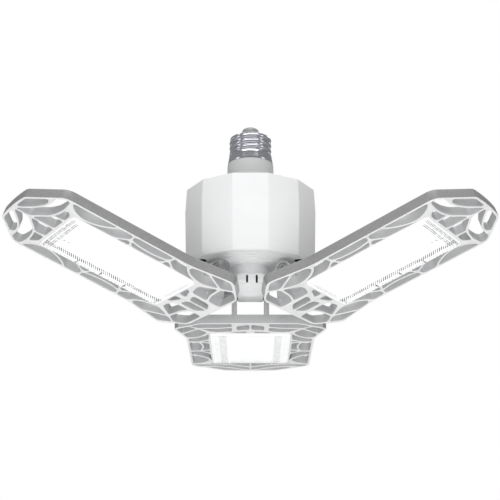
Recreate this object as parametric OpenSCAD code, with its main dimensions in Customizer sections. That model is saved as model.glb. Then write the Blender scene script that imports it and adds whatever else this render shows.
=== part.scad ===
// Screw-in garage ceiling light with three hinged LED panels.
// The origin is on the screw base's axis, level with the lower edge of the metal screw shell.
// +Z points up into the lamp socket, and the rear panel points along +Y.
// The angles in the placement section are those of the photographed pose.

/* [Screw base] */
// Outer radius of the plain skirt below the thread
skirt_r = 13.2; // [12.6:0.1:13.4]
// Height of the plain skirt
skirt_h = 6.6; // [4:0.2:7]
// Crest radius of the rolled thread
thread_crest_r = 13.1; // [12.6:0.1:13.1]
// Root radius of the rolled thread
thread_root_r = 12.2; // [11.8:0.1:12.4]
// Pitch of the rolled thread
thread_pitch = 3.63; // [3.2:0.01:4]
// Thickness of the rolled metal shell
shell_wall = 0.5; // [0.4:0.05:0.8]
// Height of the tapered crown above the thread
crown_h = 2.9; // [2.5:0.1:6]
// Outer radius of the insulating ring in the crown
insulator_r = 6.3; // [5.5:0.1:7]
// Height of the insulating ring above the crown
insulator_h = 1.2; // [0.8:0.1:2]
// Radius of the centre contact
contact_r = 5.4; // [4:0.1:5.5]
// Height of the centre contact above the insulator
contact_h = 3.9; // [2:0.1:4.5]

/* [Collar] */
// Length of the plastic collar between the shell and the housing
collar_h = 19.7; // [14:0.5:26]
// Radius of the collar at its top edge
collar_top_r = 14.3; // [13.4:0.1:15]
// Radius of the collar where it meets the housing
collar_bottom_r = 15.2; // [14.2:0.1:17]
// Wall of the collar
collar_wall = 2; // [1.6:0.1:2.4]

/* [Housing] */
// Corner radius of the twelve-sided housing at its widest line
housing_r = 41; // [39:0.5:50]
// Corner radius of the housing at its top and bottom rims
housing_rim_r = 40.2; // [38:0.1:40.6]
// Height of the housing
housing_h = 47.7; // [40:0.5:60]
// Distance from the top rim down to the widest line
crease_drop = 14.6; // [8:0.5:22]
// Height of the bevel round the bottom rim
bevel_h = 2.2; // [1:0.2:4]
// Inward run of that bevel
bevel_run = 1.6; // [0.8:0.2:2.4]
// Wall of the housing
housing_wall = 2.2; // [1.8:0.1:3]

/* [Hub] */
// Radius of the round neck between hub and housing
neck_r = 13.2; // [12.6:0.1:13.8]
// Side of the six-sided hub, which is also the width of its faces
hub_side = 16; // [15:0.5:18]
// Distance from the housing's underside down to the hub's top face
neck_h = 6.7; // [5:0.1:9]
// Height of the six-sided hub
hub_h = 5.6; // [5.5:0.1:8]
// Radius of the domed cap under the hub
cap_r = 12.6; // [9:0.1:12.8]
// Height of that cap's dome
cap_h = 4.9; // [2:0.1:6]
// Radius of the wire passage through the hub
hub_bore_r = 6; // [4:0.5:7]

/* [Hinges] */
// Distance from the lamp's axis to each hinge axis
hinge_r = 28.5; // [27:0.5:32]
// Distance from the housing's underside down to the hinge axes
hinge_drop = 7.6; // [6.8:0.1:9]
// Radius of the hinge knuckles
knuckle_r = 5.2; // [4.8:0.1:5.4]
// Thickness of each clevis arm
arm_t = 3.1; // [2.6:0.1:4]
// Radius of the hinge bolt's shank
bolt_r = 2; // [1.6:0.1:2.3]
// Thickness of each friction washer
washer_t = 0.5; // [0.3:0.05:0.6]

/* [Panels] */
// Distance from a hinge axis down to the panel's light side
panel_drop = 22; // [21.5:0.1:25]
// Thickness of the panel frame
panel_t = 5.9; // [5.8:0.1:8]
// Distance from the hinge axis in to the panel's inner wall
panel_in = 9.9; // [9:0.1:10.5]
// Distance from the hinge axis out to the panel's tip
panel_out = 124; // [118:0.5:140]
// Width of the panel along its parallel sides
panel_w = 82.4; // [78:0.2:90]
// Width of the panel across its shoulders
shoulder_w = 96.6; // [90:0.2:98]
// Width of the panel's inner wall
inner_w = 61; // [52:0.5:61]
// Width of the curved tip between its bevelled corners
tip_w = 36; // [30:1:50]
// Radius of the slightly bowed tip
tip_r = 200; // [100:10:400]
// Thickness of the panel's outer rim
rim_t = 1.4; // [1.2:0.1:2]
// Thickness of the web's ribs
rib_t = 1.3; // [1:0.1:1.6]

/* [Lamp unit] */
// Length of the lens
lens_l = 79.6; // [74:0.2:84]
// Width of the lens
lens_w = 51.2; // [44:0.2:54]
// Distance from the hinge axis out to the lens
lens_in = 16; // [15:0.1:18]
// Height of the lens face above the panel's rim
lens_rise = 0.8; // [0.4:0.1:1.2]
// Thickness of the lens wall
lens_t = 1; // [0.8:0.1:1.4]
// Thickness of the plate that carries the circuit board
plate_t = 1.6; // [1.4:0.1:1.8]
// Depth of the cooling fins on the ceiling side
fin_h = 1.8; // [1.4:0.1:2]
// Thickness of the circuit board
board_t = 1; // [0.8:0.1:1.2]
// Number of lamp packages along a board
led_columns = 12; // [6:1:12]
// Number of lamp packages across a board
led_rows = 7; // [3:1:7]

/* [Placement] */
// Upward tilt of the two front panels
front_tilt = 19.2; // [0:0.1:90]
// Upward tilt of the rear panel
rear_tilt = 0; // [0:1:90]

/* [Hidden] */
$fn = 64;

// Shared clearances: cuts run past a face by overrun, fixed pieces sit fit_gap apart,
// and the hinge bolt runs in its bore with run_gap of radial clearance.
overrun = 1;
fit_gap = 0.2;
run_gap = 0.06;
round_gap = 0.3;

// Screw base
thread_turns = 3;
profile_steps = 12;
thread_top = skirt_h + thread_turns * thread_pitch;
thread_depth = thread_crest_r - thread_root_r;
crown_r = thread_root_r + thread_depth / 2;
crown_top = thread_top + crown_h;
insulator_top = crown_top + insulator_h;
insulator_lip = 1.5;
contact_flange_h = 0.8;
collar_plug_h = 4.6;
collar_flange_t = 2;
collar_flange_w = 3.2;

// Housing
sides = 12;
housing_top = -collar_h;
housing_bottom = housing_top - housing_h;
half_step = 180 / sides;
rim_apothem = housing_rim_r * cos(half_step);
base_r = rim_apothem - housing_wall - round_gap;
base_t = 2.4;
base_recess = 0.2;
base_bottom = housing_bottom + base_recess;
base_top = base_bottom + base_t;
ring_step = 0.3;
ring_radii_shares = [0.88, 0.75, 0.59];
ring_count = len(ring_radii_shares);
underside = base_bottom - ring_count * ring_step;
panel_azimuths = [210, 330, 90];
screw_edge = 3.33;
screw_circle_r = base_r - screw_edge;
screw_r = 1.3;
screw_head_r = 2;
screw_head_h = 1.2;
screw_recess = 0.4;
screw_hole_r = 2.3;
boss_r = 3.2;
screw_l = 9;

// Hub
hub_apothem = hub_side * cos(30);
hub_top = housing_bottom - neck_h;
hub_bottom = hub_top - hub_h;
hub_screw_circle = 8.9;
hub_screw_l = 6;
slot_w = 1.2;
slot_drop = 1.4;
slot_depth = 1.4;
slot_pitch = 5.8;
slot_shift = 0.9;
band_w = 14;
band_h = 2.4;
band_t = 0.5;
band_drop = 3;
cap_rim_h = 0.6;
cap_dome_h = cap_h - cap_rim_h;
cap_dome_r = (cap_r * cap_r + cap_dome_h * cap_dome_h) / (2 * cap_dome_h);
cap_plug_h = 3;
hinge_z = housing_bottom - hinge_drop;
web_drop = 1.9;
tongue_w = 15.8;
washer_gap = 0.05;
arm_in = tongue_w / 2 + washer_t + 2 * washer_gap;
arm_out = arm_in + arm_t;
washer_r = knuckle_r - fit_gap;
bolt_head_r = 3.3;
bolt_head_h = 1.4;
bolt_pocket_r = 4.2;
bolt_pocket_h = 1.1;
bolt_socket_r = 1.6;
bolt_socket_h = 1;
nut_r = 3.8;
nut_l = 9.2;
arm_root_in = panel_in;
arm_root_out = 8;
arm_neck_share = 0.5;

// Panels, in a frame with its origin on the hinge axis, X out along the panel and Z to the ceiling
light_z = -panel_drop;
ceiling_z = light_z + panel_t;
plate_top = ceiling_z - fin_h;
plate_bottom = plate_top - plate_t;
half_w = panel_w / 2;
shoulder_x = 2.8;
waist_x = 28;
bevel_x = 107;
tip_steps = 8;
lens_gap = 0.2;
pocket_in = lens_in - lens_gap;
pocket_out = lens_in + lens_l + lens_gap;
pocket_half = lens_w / 2 + lens_gap;
pocket_corner_r = 2;
rim_line = rim_t - rib_t / 2;
web_in = -panel_in + rim_line;
web_out = panel_out - rim_line;
web_side = half_w - rim_line;
border_in = pocket_in - rib_t / 2;
border_out = pocket_out + rib_t / 2;
border_side = pocket_half + rib_t / 2;
fin_count = 9;
fin_t = 1.4;

// Web cells as shares of the zone that each lies in, along the panel first and across it second.
// A cell's corners lie on the centre lines of its ribs, and every cell is mirrored.
// Inner cells: from the inner wall to the lens border, and from the middle to the side.
inner_cell_shares = [
    [[0.74, 0.04], [1, 0.04], [1, 0.34], [0.88, 0.31]],
    [[0.51, 0.81], [0.25, 0.955], [0.54, 1.165], [1.08, 1.075]],
    [[0.51, 0.81], [1.08, 1.075], [1.45, 1.015], [1.49, 0.9], [1.32, 0.77], [1.1, 0.7], [0.89, 0.67]]
];
// Inner cells that lean on a clevis arm: their other corners
arm_cell_shares = [
    [[0.47, 0.48], [0.49, 0.66], [0.51, 0.81], [0.25, 0.955], [0, 0.76]],
    [[0.91, 0.5], [0.88, 0.6], [0.51, 0.81], [0.49, 0.66], [0.47, 0.48]]
];
// Where those cells start and end along the arm, the middle cell first
arm_end_shares = [[0.25, 0.74], [0, 0.36], [0.36, 0.83]];
middle_cell_shares = [0.07, 0.66];
// Side cells: along the lens, and from the lens border to the side rim
side_cell_shares = [
    [[-0.01, 0], [0.03, 0.1], [0.09, 0.32], [0.14, 0.7], [0.16, 1], [0.27, 1], [0.28, 0.53], [0.2, 0]],
    [[0.2, 0], [0.28, 0.53], [0.31, 0]],
    [[0.27, 1], [0.28, 0.53], [0.35, 0.38], [0.43, 0.33], [0.51, 0.38], [0.59, 0.53], [0.6, 1]],
    [[0.31, 0], [0.28, 0.53], [0.35, 0.38], [0.43, 0.33], [0.51, 0.38], [0.59, 0.53], [0.55, 0]],
    [[0.55, 0], [0.59, 0.53], [0.685, 0]],
    [[0.6, 1], [0.59, 0.53], [0.685, 0], [0.96, 0], [0.88, 0.14], [0.81, 0.37], [0.75, 0.7], [0.72, 1]],
    [[0.72, 1], [0.75, 0.7], [0.81, 0.37], [0.88, 0.14], [0.95, 0.1], [1.01, 0.3], [1.06, 0.62], [1.09, 1]]
];
// Outer cells: from the lens border to the tip, and from the middle to the side
outer_cell_shares = [
    [[0, 0], [0, 0.366], [0.282, 0.366], [0.326, 0.284], [0.478, 0.136], [0.588, 0]],
    [[0, 0.366], [0.282, 0.366], [0.267, 0.396], [0.23, 0.494], [0.203, 0.7], [0.15, 0.745], [0, 0.6]],
    [[0.588, 0], [0.95, 0], [0.915, 0.085], [0.79, 0.2], [0.7, 0.3], [0.62, 0.41], [0.56, 0.52],
        [0.53, 0.65], [0.525, 0.76], [0.54, 0.851], [0.4, 0.985], [0.31, 0.985], [0.263, 0.976],
        [0.23, 0.915], [0.203, 0.7], [0.23, 0.494], [0.267, 0.396], [0.326, 0.284], [0.478, 0.136]],
    [[0.994, 0.111], [0.976, 0.435], [0.62, 0.775], [0.53, 0.65], [0.56, 0.52], [0.62, 0.41],
        [0.7, 0.3], [0.79, 0.2], [0.915, 0.085]]
];

// Lamp unit
gasket_t = 0.4;
gasket_w = 1.6;
lens_corner_r = pocket_corner_r - lens_gap;
lens_face_z = light_z - lens_rise;
board_gap = 1.6;
board_l = lens_l - 2 * (lens_t + board_gap);
board_w = lens_w - 2 * (lens_t + board_gap);
board_z = plate_bottom - board_t;
tab_shares = [0.3, 0.5, 0.7];
tab_l = 1.2;
tab_depth = 0.5;
tab_w = 4.5;
led_l = 3.5;
led_w = 2.8;
led_h = 0.6;
led_pitch_x = (board_l - 2 * led_l) / led_columns;
led_pitch_y = (board_w - led_w) / led_rows;
corner_inset = 3.2;
board_screw_r = 1;
board_screw_head_r = 1.7;
board_screw_head_h = 0.6;
board_screw_l = board_t + 1.4;
connector_l = 3.2;
connector_w = 7;
connector_h = 1;

// Driver
driver_edge = 5.33;
driver_r = base_r - driver_edge;
driver_t = 1.6;
standoff_h = 6;
standoff_r = 2.6;
standoff_azimuths = [30, 150, 270];
standoff_edge = 5.5;
standoff_circle_r = driver_r - standoff_edge;
driver_z = base_top + standoff_h;
driver_top = driver_z + driver_t;
transformer_l = 18;
transformer_w = 16;
transformer_h = 15;
transformer_core_share = 0.6;
capacitor_r = 6.5;
capacitor_h = 21;
output_capacitor_r = 5;
output_capacitor_h = 16;
cap_lip = 0.5;
rectifier_l = 8;
rectifier_w = 6;
rectifier_h = 2.5;
choke_r = 5;
choke_h = 8;
choke_neck_share = 0.7;
fuse_r = 2;
fuse_l = 9;
lead_r = 0.9;
lead_bend_r = 3.2;
part_pitch = 13;
wide_share = 1.6;
foot_share = 1.7;

function unit(v) = v / norm(v);
function cross_z(a, b) = a[0] * b[1] - a[1] * b[0];
function sum(v, i = 0) = i < len(v) ? v[i] + sum(v, i + 1) : 0;
function turn_sense(p) = sign(sum([for (i = [0:len(p) - 1]) cross_z(p[i], p[(i + 1) % len(p)])]));
function left_of(v) = [-v[1], v[0]];

// A polygon's corners moved inward so that each side shifts by d
function inset(p, d) = [for (i = [0:len(p) - 1]) let(
    n = len(p),
    s = turn_sense(p),
    a = left_of(unit(p[i] - p[(i + n - 1) % n])) * s,
    b = left_of(unit(p[(i + 1) % n] - p[i])) * s
    ) p[i] + (a + b) * d / (1 + a * b)];

function inner_point(s) = [web_in + s[0] * (border_in - web_in), s[1] * web_side];
function side_point(s) = [pocket_in + s[0] * (pocket_out - pocket_in),
    border_side + s[1] * (web_side - border_side)];
function outer_point(s) = [border_out + s[0] * (web_out - border_out), s[1] * web_side];

// Corners of the three cells that lean on a clevis arm
function inner_x(share) = inner_point([share, 0])[0];
function middle_cell() = [[inner_x(middle_cell_shares[0]), 0],
    [inner_x(arm_end_shares[0][0]), arm_in + rib_t / 2],
    [inner_x(arm_end_shares[0][1]), arm_in + rib_t / 2],
    [inner_x(middle_cell_shares[1]), 0]];
function arm_cell(i) = concat(
    [[inner_x(arm_end_shares[i + 1][0]), arm_out - rib_t / 2],
    [inner_x(arm_end_shares[i + 1][1]), arm_out - rib_t / 2]],
    [for (s = arm_cell_shares[i]) inner_point(s)]);

web_cells = concat(
    [middle_cell()],
    [for (i = [0:len(arm_cell_shares) - 1]) arm_cell(i)],
    [for (c = inner_cell_shares) [for (s = c) inner_point(s)]],
    [for (c = side_cell_shares) [for (s = c) side_point(s)]],
    [for (c = outer_cell_shares) [for (s = c) outer_point(s)]]);

// The panel's outline on one side of its middle line, from the inner wall to the tip
tip_half_angle = asin(tip_w / 2 / tip_r);
half_outline = concat(
    [[-panel_in, inner_w / 2], [shoulder_x, shoulder_w / 2], [waist_x, half_w], [bevel_x, half_w]],
    [for (i = [0:tip_steps]) let(t = tip_half_angle * (1 - i / tip_steps))
        [panel_out - tip_r + tip_r * cos(t), tip_r * sin(t)]]);

module mirrored_y() {
    children();
    mirror([0, 1, 0]) children();
}

// Places a panel's pieces: azimuth is its direction seen from above, and tilt raises its tip.
module at_panel(azimuth, tilt) {
    rotate([0, 0, azimuth]) translate([hinge_r, 0, hinge_z]) rotate([0, -tilt, 0]) children();
}

module ring(outer_r, inner_r, height) {
    difference() {
        cylinder(r = outer_r, h = height);
        translate([0, 0, -overrun]) cylinder(r = inner_r, h = height + 2 * overrun);
    }
}

module rounded_plate(length, width, radius, height) {
    linear_extrude(height) {
        square([length - 2 * radius, width], center = true);
        square([length, width - 2 * radius], center = true);
        for (x = [-1, 1], y = [-1, 1]) {
            translate([x * (length / 2 - radius), y * (width / 2 - radius)]) circle(r = radius);
        }
    }
}

// A pan-head screw with its head's underside at the origin and its shank pointing up
module screw(shank_r, head_r, head_h, length) {
    cylinder(r = shank_r, h = length);
    difference() {
        translate([0, 0, -head_h]) cylinder(r = head_r, h = head_h);
        for (a = [0, 90]) rotate([0, 0, a]) {
            translate([-head_r / 2, -head_r / 8, -head_h - overrun]) {
                cube([head_r, head_r / 4, overrun + head_h / 2]);
            }
        }
    }
}

// Screw base

function thread_r(z) = crown_r - thread_depth / 2 * cos(360 * (z - skirt_h) / thread_pitch);
function crown_profile_r(t) = crown_r + (insulator_r - crown_r) * t;
thread_step = thread_pitch / profile_steps;
thread_points = [for (i = [0:thread_turns * profile_steps])
    let(z = skirt_h + i * thread_step) [thread_r(z), z]];
crown_points = [for (i = [1:profile_steps / 2]) let(t = i / (profile_steps / 2))
    [crown_profile_r(t), thread_top + crown_h * t]];
shell_outside = concat([[skirt_r, 0], [skirt_r, skirt_h]], thread_points, crown_points);

module screw_shell() {
    count = len(shell_outside);
    inside = [for (i = [count - 1:-1:0]) [shell_outside[i][0] - shell_wall, shell_outside[i][1]
        - (i > len(thread_points) + 1 ? shell_wall : 0)]];
    color("silver") rotate_extrude() polygon(concat(shell_outside, inside));
}

module base_insulator() {
    plug_r = insulator_r - shell_wall - fit_gap;
    color("dimgray") {
        translate([0, 0, crown_top]) cylinder(r = insulator_r, h = insulator_h);
        translate([0, 0, crown_top - insulator_lip]) cylinder(r = plug_r, h = insulator_lip);
    }
}

module contact_tip() {
    dome_h = contact_h - contact_flange_h;
    color("gainsboro") translate([0, 0, insulator_top]) rotate_extrude() {
        polygon(concat([[0, 0], [contact_r, 0]],
            [for (i = [0:profile_steps]) let(t = 90 * i / profile_steps)
                [contact_r * cos(t), contact_flange_h + dome_h * sin(t)]]));
    }
}

module base_collar() {
    plug_r = thread_root_r - shell_wall - fit_gap;
    flange_r = collar_bottom_r + collar_flange_w;
    flange_z = housing_top - housing_wall;
    seat_r = collar_bottom_r - fit_gap;
    color("lightgray") rotate_extrude() polygon([
        [plug_r, collar_plug_h], [plug_r, 0], [collar_top_r, 0], [collar_bottom_r, housing_top],
        [seat_r, housing_top], [seat_r, flange_z], [flange_r, flange_z],
        [flange_r, flange_z - collar_flange_t],
        [plug_r - collar_wall, flange_z - collar_flange_t],
        [plug_r - collar_wall, collar_plug_h]]);
}

// Housing

module twelve_sided(bottom_r, top_r, height) {
    rotate([0, 0, half_step]) cylinder(r1 = bottom_r, r2 = top_r, h = height, $fn = sides);
}

module housing_body(shrink) {
    crease_z = housing_top - crease_drop;
    low_h = crease_z - housing_bottom - bevel_h;
    translate([0, 0, crease_z]) twelve_sided(housing_r - shrink, housing_rim_r - shrink, crease_drop);
    translate([0, 0, housing_bottom + bevel_h]) {
        twelve_sided(housing_rim_r - shrink, housing_r - shrink, low_h);
    }
}

module screw_places(circle_r, azimuths) {
    for (a = azimuths) rotate([0, 0, a]) translate([circle_r, 0, 0]) children();
}

module housing_cover() {
    color("white") difference() {
        union() {
            difference() {
                union() {
                    housing_body(0);
                    translate([0, 0, housing_bottom]) {
                        twelve_sided(housing_rim_r - bevel_run, housing_rim_r, bevel_h);
                    }
                }
                translate([0, 0, -housing_wall]) housing_body(housing_wall);
                translate([0, 0, housing_bottom - overrun]) {
                    cylinder(r = base_r + round_gap, h = bevel_h + 2 * overrun);
                }
            }
            screw_places(screw_circle_r, panel_azimuths) translate([0, 0, base_top]) {
                cylinder(r = boss_r, h = housing_top - housing_wall / 2 - base_top);
            }
        }
        translate([0, 0, housing_top - housing_wall - overrun]) {
            cylinder(r = collar_bottom_r, h = housing_wall + 2 * overrun);
        }
        screw_places(screw_circle_r, panel_azimuths) translate([0, 0, base_bottom]) {
            cylinder(r = screw_r, h = base_t + screw_l);
        }
    }
}

module housing_base() {
    head_depth = base_bottom - underside + overrun + screw_head_h + screw_recess;
    color("whitesmoke") difference() {
        union() {
            translate([0, 0, base_bottom]) cylinder(r = base_r, h = base_t);
            for (i = [0:ring_count - 1]) translate([0, 0, base_bottom - (i + 1) * ring_step]) {
                cylinder(r = base_r * ring_radii_shares[i], h = (i + 1) * ring_step);
            }
            screw_places(standoff_circle_r, standoff_azimuths) translate([0, 0, base_bottom]) {
                cylinder(r = standoff_r, h = base_t + standoff_h);
            }
        }
        translate([0, 0, underside - overrun]) {
            cylinder(r = hub_bore_r, h = base_top - underside + 2 * overrun);
        }
        screw_places(screw_circle_r, panel_azimuths) translate([0, 0, underside - overrun]) {
            cylinder(r = screw_hole_r, h = head_depth);
            cylinder(r = screw_r + fit_gap, h = base_top - underside + 2 * overrun);
        }
        screw_places(hub_screw_circle, standoff_azimuths) translate([0, 0, underside - overrun]) {
            cylinder(r = screw_r + fit_gap, h = base_top - underside + 2 * overrun);
        }
    }
}

module cover_screws() {
    shank_l = screw_l - screw_recess - screw_head_h;
    color("dimgray") screw_places(screw_circle_r, panel_azimuths) {
        translate([0, 0, base_bottom + screw_recess + screw_head_h]) {
            screw(screw_r - fit_gap / 2, screw_head_r, screw_head_h, shank_l);
        }
    }
}

// Hub

module hex_prism(radius, height) {
    cylinder(r = radius, h = height, $fn = 6);
}

// A tongue's side view, with a web from the hub to the barrel on the hinge axis
module tongue_shape() {
    root_x = hub_apothem - overrun;
    web_top = hub_top - web_drop;
    translate([hinge_r, hinge_z]) circle(r = knuckle_r);
    polygon([[root_x, web_top], [hinge_r - knuckle_r, web_top], [hinge_r, hinge_z],
        [hinge_r, hinge_z - knuckle_r], [root_x, hub_bottom]]);
}

module hub_tongue() {
    translate([0, tongue_w / 2, 0]) rotate([90, 0, 0]) linear_extrude(tongue_w) tongue_shape();
}

module hub_face() {
    translate([hub_apothem - overrun, -band_w / 2, hub_top - band_drop - band_h]) {
        cube([band_t + overrun, band_w, band_h]);
    }
}

module hub_body() {
    color("gainsboro") difference() {
        union() {
            translate([0, 0, hub_bottom]) cylinder(r = neck_r, h = underside - hub_bottom);
            translate([0, 0, hub_bottom]) hex_prism(hub_side, hub_h);
            for (a = panel_azimuths) rotate([0, 0, a]) hub_tongue();
            for (a = standoff_azimuths) rotate([0, 0, a]) hub_face();
        }
        translate([0, 0, hub_bottom - overrun]) {
            cylinder(r = hub_bore_r, h = underside - hub_bottom + 2 * overrun);
        }
        for (a = panel_azimuths) rotate([0, 0, a]) {
            translate([hinge_r, -tongue_w / 2 - overrun, hinge_z]) rotate([-90, 0, 0]) {
                cylinder(r = bolt_r + run_gap, h = tongue_w + 2 * overrun);
            }
        }
        for (a = standoff_azimuths, side = [-1, 1]) rotate([0, 0, a]) {
            translate([hub_apothem - slot_depth, slot_shift + (side * slot_pitch - slot_w) / 2,
                hub_bottom - overrun]) {
                cube([slot_depth + band_t + overrun, slot_w, hub_h - slot_drop + overrun]);
            }
        }
        screw_places(hub_screw_circle, standoff_azimuths) translate([0, 0, underside - hub_screw_l]) {
            cylinder(r = screw_r, h = hub_screw_l + overrun);
        }
    }
}

module hub_screws() {
    shank_l = base_top - underside + hub_screw_l - fit_gap;
    color("silver") screw_places(hub_screw_circle, standoff_azimuths) {
        translate([0, 0, base_top]) mirror([0, 0, 1]) {
            screw(screw_r - fit_gap / 2, screw_head_r, screw_head_h, shank_l);
        }
    }
}

// The cap is domed below and pressed into the wire passage by its plug.
cap_points = [for (i = [0:profile_steps]) let(r = cap_r * (1 - i / profile_steps))
    [r, hub_bottom - cap_h + cap_dome_r - sqrt(cap_dome_r * cap_dome_r - r * r)]];

module hub_cap() {
    plug_r = hub_bore_r - run_gap;
    color("whitesmoke") rotate_extrude() polygon(concat([[0, hub_bottom + cap_plug_h],
        [plug_r, hub_bottom + cap_plug_h], [plug_r, hub_bottom], [cap_r, hub_bottom]], cap_points));
}

// Driver

module driver_board() {
    color("darkgreen") difference() {
        translate([0, 0, driver_z]) cylinder(r = driver_r, h = driver_t);
        screw_places(screw_circle_r, panel_azimuths) translate([0, 0, driver_z - overrun]) {
            cylinder(r = boss_r + round_gap, h = driver_t + 2 * overrun);
        }
    }
}

module transformer() {
    core_h = transformer_h * transformer_core_share;
    color("gold") translate([-transformer_l / 2, 0, driver_top]) {
        cube([transformer_l, transformer_w, core_h]);
        translate([transformer_l * (1 - transformer_core_share) / 2, 0, core_h]) {
            cube([transformer_l * transformer_core_share, transformer_w, transformer_h - core_h]);
        }
    }
}

// A can capacitor with the rolled groove near its foot
module capacitor(radius, height) {
    rotate_extrude() polygon([[0, 0], [radius, 0], [radius, cap_lip], [radius - cap_lip, 2 * cap_lip],
        [radius, 3 * cap_lip], [radius, height - cap_lip], [radius - cap_lip, height], [0, height]]);
}

module input_capacitor() {
    color("black") translate([-part_pitch, -part_pitch / 2, driver_top]) {
        capacitor(capacitor_r, capacitor_h);
    }
}

module output_capacitor() {
    color("navy") translate([part_pitch, -part_pitch / 2, driver_top]) {
        capacitor(output_capacitor_r, output_capacitor_h);
    }
}

module bridge_rectifier() {
    color("black") translate([-rectifier_l / 2, -part_pitch - rectifier_w, driver_top]) {
        cube([rectifier_l, rectifier_w, rectifier_h]);
    }
}

module line_choke() {
    waist_r = choke_r * choke_neck_share;
    lip_h = choke_h * (1 - choke_neck_share) / 2;
    color("saddlebrown") translate([-part_pitch * wide_share, part_pitch / 2, driver_top]) {
        rotate_extrude() polygon([[0, 0], [choke_r, 0], [choke_r, lip_h], [waist_r, lip_h],
            [waist_r, choke_h - lip_h], [choke_r, choke_h - lip_h], [choke_r, choke_h], [0, choke_h]]);
    }
}

module fuse_resistor() {
    color("tan") translate([part_pitch * wide_share, part_pitch / 4, driver_top + fuse_r]) {
        rotate([-90, 0, 0]) cylinder(r = fuse_r, h = fuse_l);
    }
}

// A lead that rises from the driver board, bends inward and rises again to its contact
module lead(foot, head, bend_z, top_z) {
    run = head - foot;
    reach = norm(run);
    translate([foot[0], foot[1], 0]) rotate([0, 0, atan2(run[1], run[0])]) {
        translate([0, 0, driver_top]) cylinder(r = lead_r, h = bend_z - lead_bend_r - driver_top);
        translate([lead_bend_r, 0, bend_z - lead_bend_r]) rotate([90, 0, 180]) {
            rotate_extrude(angle = 90) translate([lead_bend_r, 0]) circle(r = lead_r);
        }
        translate([lead_bend_r, 0, bend_z]) rotate([0, 90, 0]) {
            cylinder(r = lead_r, h = reach - 2 * lead_bend_r);
        }
        translate([reach - lead_bend_r, 0, bend_z + lead_bend_r]) rotate([90, 0, 0]) {
            rotate([0, 0, -90]) rotate_extrude(angle = 90) {
                translate([lead_bend_r, 0]) circle(r = lead_r);
            }
        }
        translate([reach, 0, bend_z + lead_bend_r]) {
            cylinder(r = lead_r, h = top_z - bend_z - lead_bend_r);
        }
    }
}

lead_bend_z = housing_top - housing_wall - 2 * collar_flange_t;

module line_lead() {
    color("black") {
        lead([0, -part_pitch * foot_share], [0, 0], lead_bend_z, crown_top - insulator_lip);
    }
}

module neutral_lead() {
    edge = thread_root_r - shell_wall - fit_gap - collar_wall - 2 * lead_r;
    foot = [part_pitch * foot_share, -part_pitch];
    color("white") {
        lead(foot, [edge * cos(30), -edge / 2], lead_bend_z, thread_top - skirt_h);
    }
}

// Panels

module panel_outline() {
    count = len(half_outline);
    polygon(concat(half_outline,
        [for (i = [count - 1:-1:0]) [half_outline[i][0], -half_outline[i][1]]]));
}

module arm_shape() {
    root_z = ceiling_z - overrun;
    neck = knuckle_r * arm_neck_share;
    circle(r = knuckle_r);
    polygon([[-knuckle_r, 0], [-arm_root_in, root_z], [arm_root_out, root_z], [knuckle_r, 0],
        [neck, neck], [-neck, neck]]);
}

module arm_pair() {
    mirrored_y() translate([0, arm_out, 0]) rotate([90, 0, 0]) linear_extrude(arm_t) arm_shape();
}

// The arms stand on the inner wall, and their bolt bore and pockets are cut through both.
module panel_frame() {
    lens_mid = lens_in + lens_l / 2;
    fin_pitch = 2 * pocket_half / fin_count;
    color("whitesmoke") difference() {
        union() {
            difference() {
                translate([0, 0, light_z]) linear_extrude(panel_t) panel_outline();
                translate([0, 0, light_z - overrun]) mirrored_y() for (c = web_cells) {
                    linear_extrude(panel_t + 2 * overrun) polygon(inset(c, rib_t / 2));
                }
                translate([lens_mid, 0, light_z - overrun]) {
                    rounded_plate(lens_l + 2 * lens_gap, lens_w + 2 * lens_gap, pocket_corner_r,
                        plate_bottom - light_z + overrun);
                }
                for (i = [0:fin_count - 1]) {
                    translate([pocket_in, -pocket_half + i * fin_pitch + fin_t / 2, plate_top]) {
                        cube([pocket_out - pocket_in, fin_pitch - fin_t, fin_h + overrun]);
                    }
                }
            }
            arm_pair();
        }
        translate([0, -arm_out - overrun, 0]) rotate([-90, 0, 0]) {
            cylinder(r = bolt_r + fit_gap / 2, h = 2 * (arm_out + overrun));
            cylinder(r = bolt_pocket_r, h = overrun + bolt_pocket_h);
        }
        translate([0, arm_out - bolt_pocket_h, 0]) rotate([-90, 0, 0]) {
            cylinder(r = bolt_pocket_r, h = bolt_pocket_h + overrun);
        }
        board_screw_places() translate([0, 0, plate_bottom - overrun]) {
            cylinder(r = board_screw_r, h = board_screw_l - board_t + overrun);
        }
    }
}

module board_screw_places() {
    lens_mid = lens_in + lens_l / 2;
    for (x = [-1, 1], y = [-1, 1]) {
        translate([lens_mid + x * (board_l / 2 - corner_inset), y * (board_w / 2 - corner_inset), 0]) {
            children();
        }
    }
}

module board() {
    color("white") difference() {
        translate([lens_in + lens_l / 2, 0, board_z]) {
            rounded_plate(board_l, board_w, lens_corner_r, board_t);
        }
        board_screw_places() translate([0, 0, board_z - overrun]) {
            cylinder(r = board_screw_r + fit_gap, h = board_t + 2 * overrun);
        }
    }
}

// The lamp packages leave one column's room at the outer end for the connector.
module leds() {
    start_x = lens_in + (lens_l - led_l - (led_columns - 1) * led_pitch_x) / 2;
    color("khaki") for (i = [0:led_columns - 1], j = [0:led_rows - 1]) {
        corner = (i == 0 || i == led_columns - 1) && (j == 0 || j == led_rows - 1);
        if (!corner) {
            y = (j - (led_rows - 1) / 2) * led_pitch_y;
            translate([start_x + i * led_pitch_x - led_l / 2, y - led_w / 2, board_z - led_h]) {
                cube([led_l, led_w, led_h]);
            }
        }
    }
}

module board_screws() {
    color("silver") board_screw_places() translate([0, 0, board_z]) {
        screw(board_screw_r - fit_gap / 2, board_screw_head_r, board_screw_head_h, board_screw_l - fit_gap);
    }
}

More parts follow.
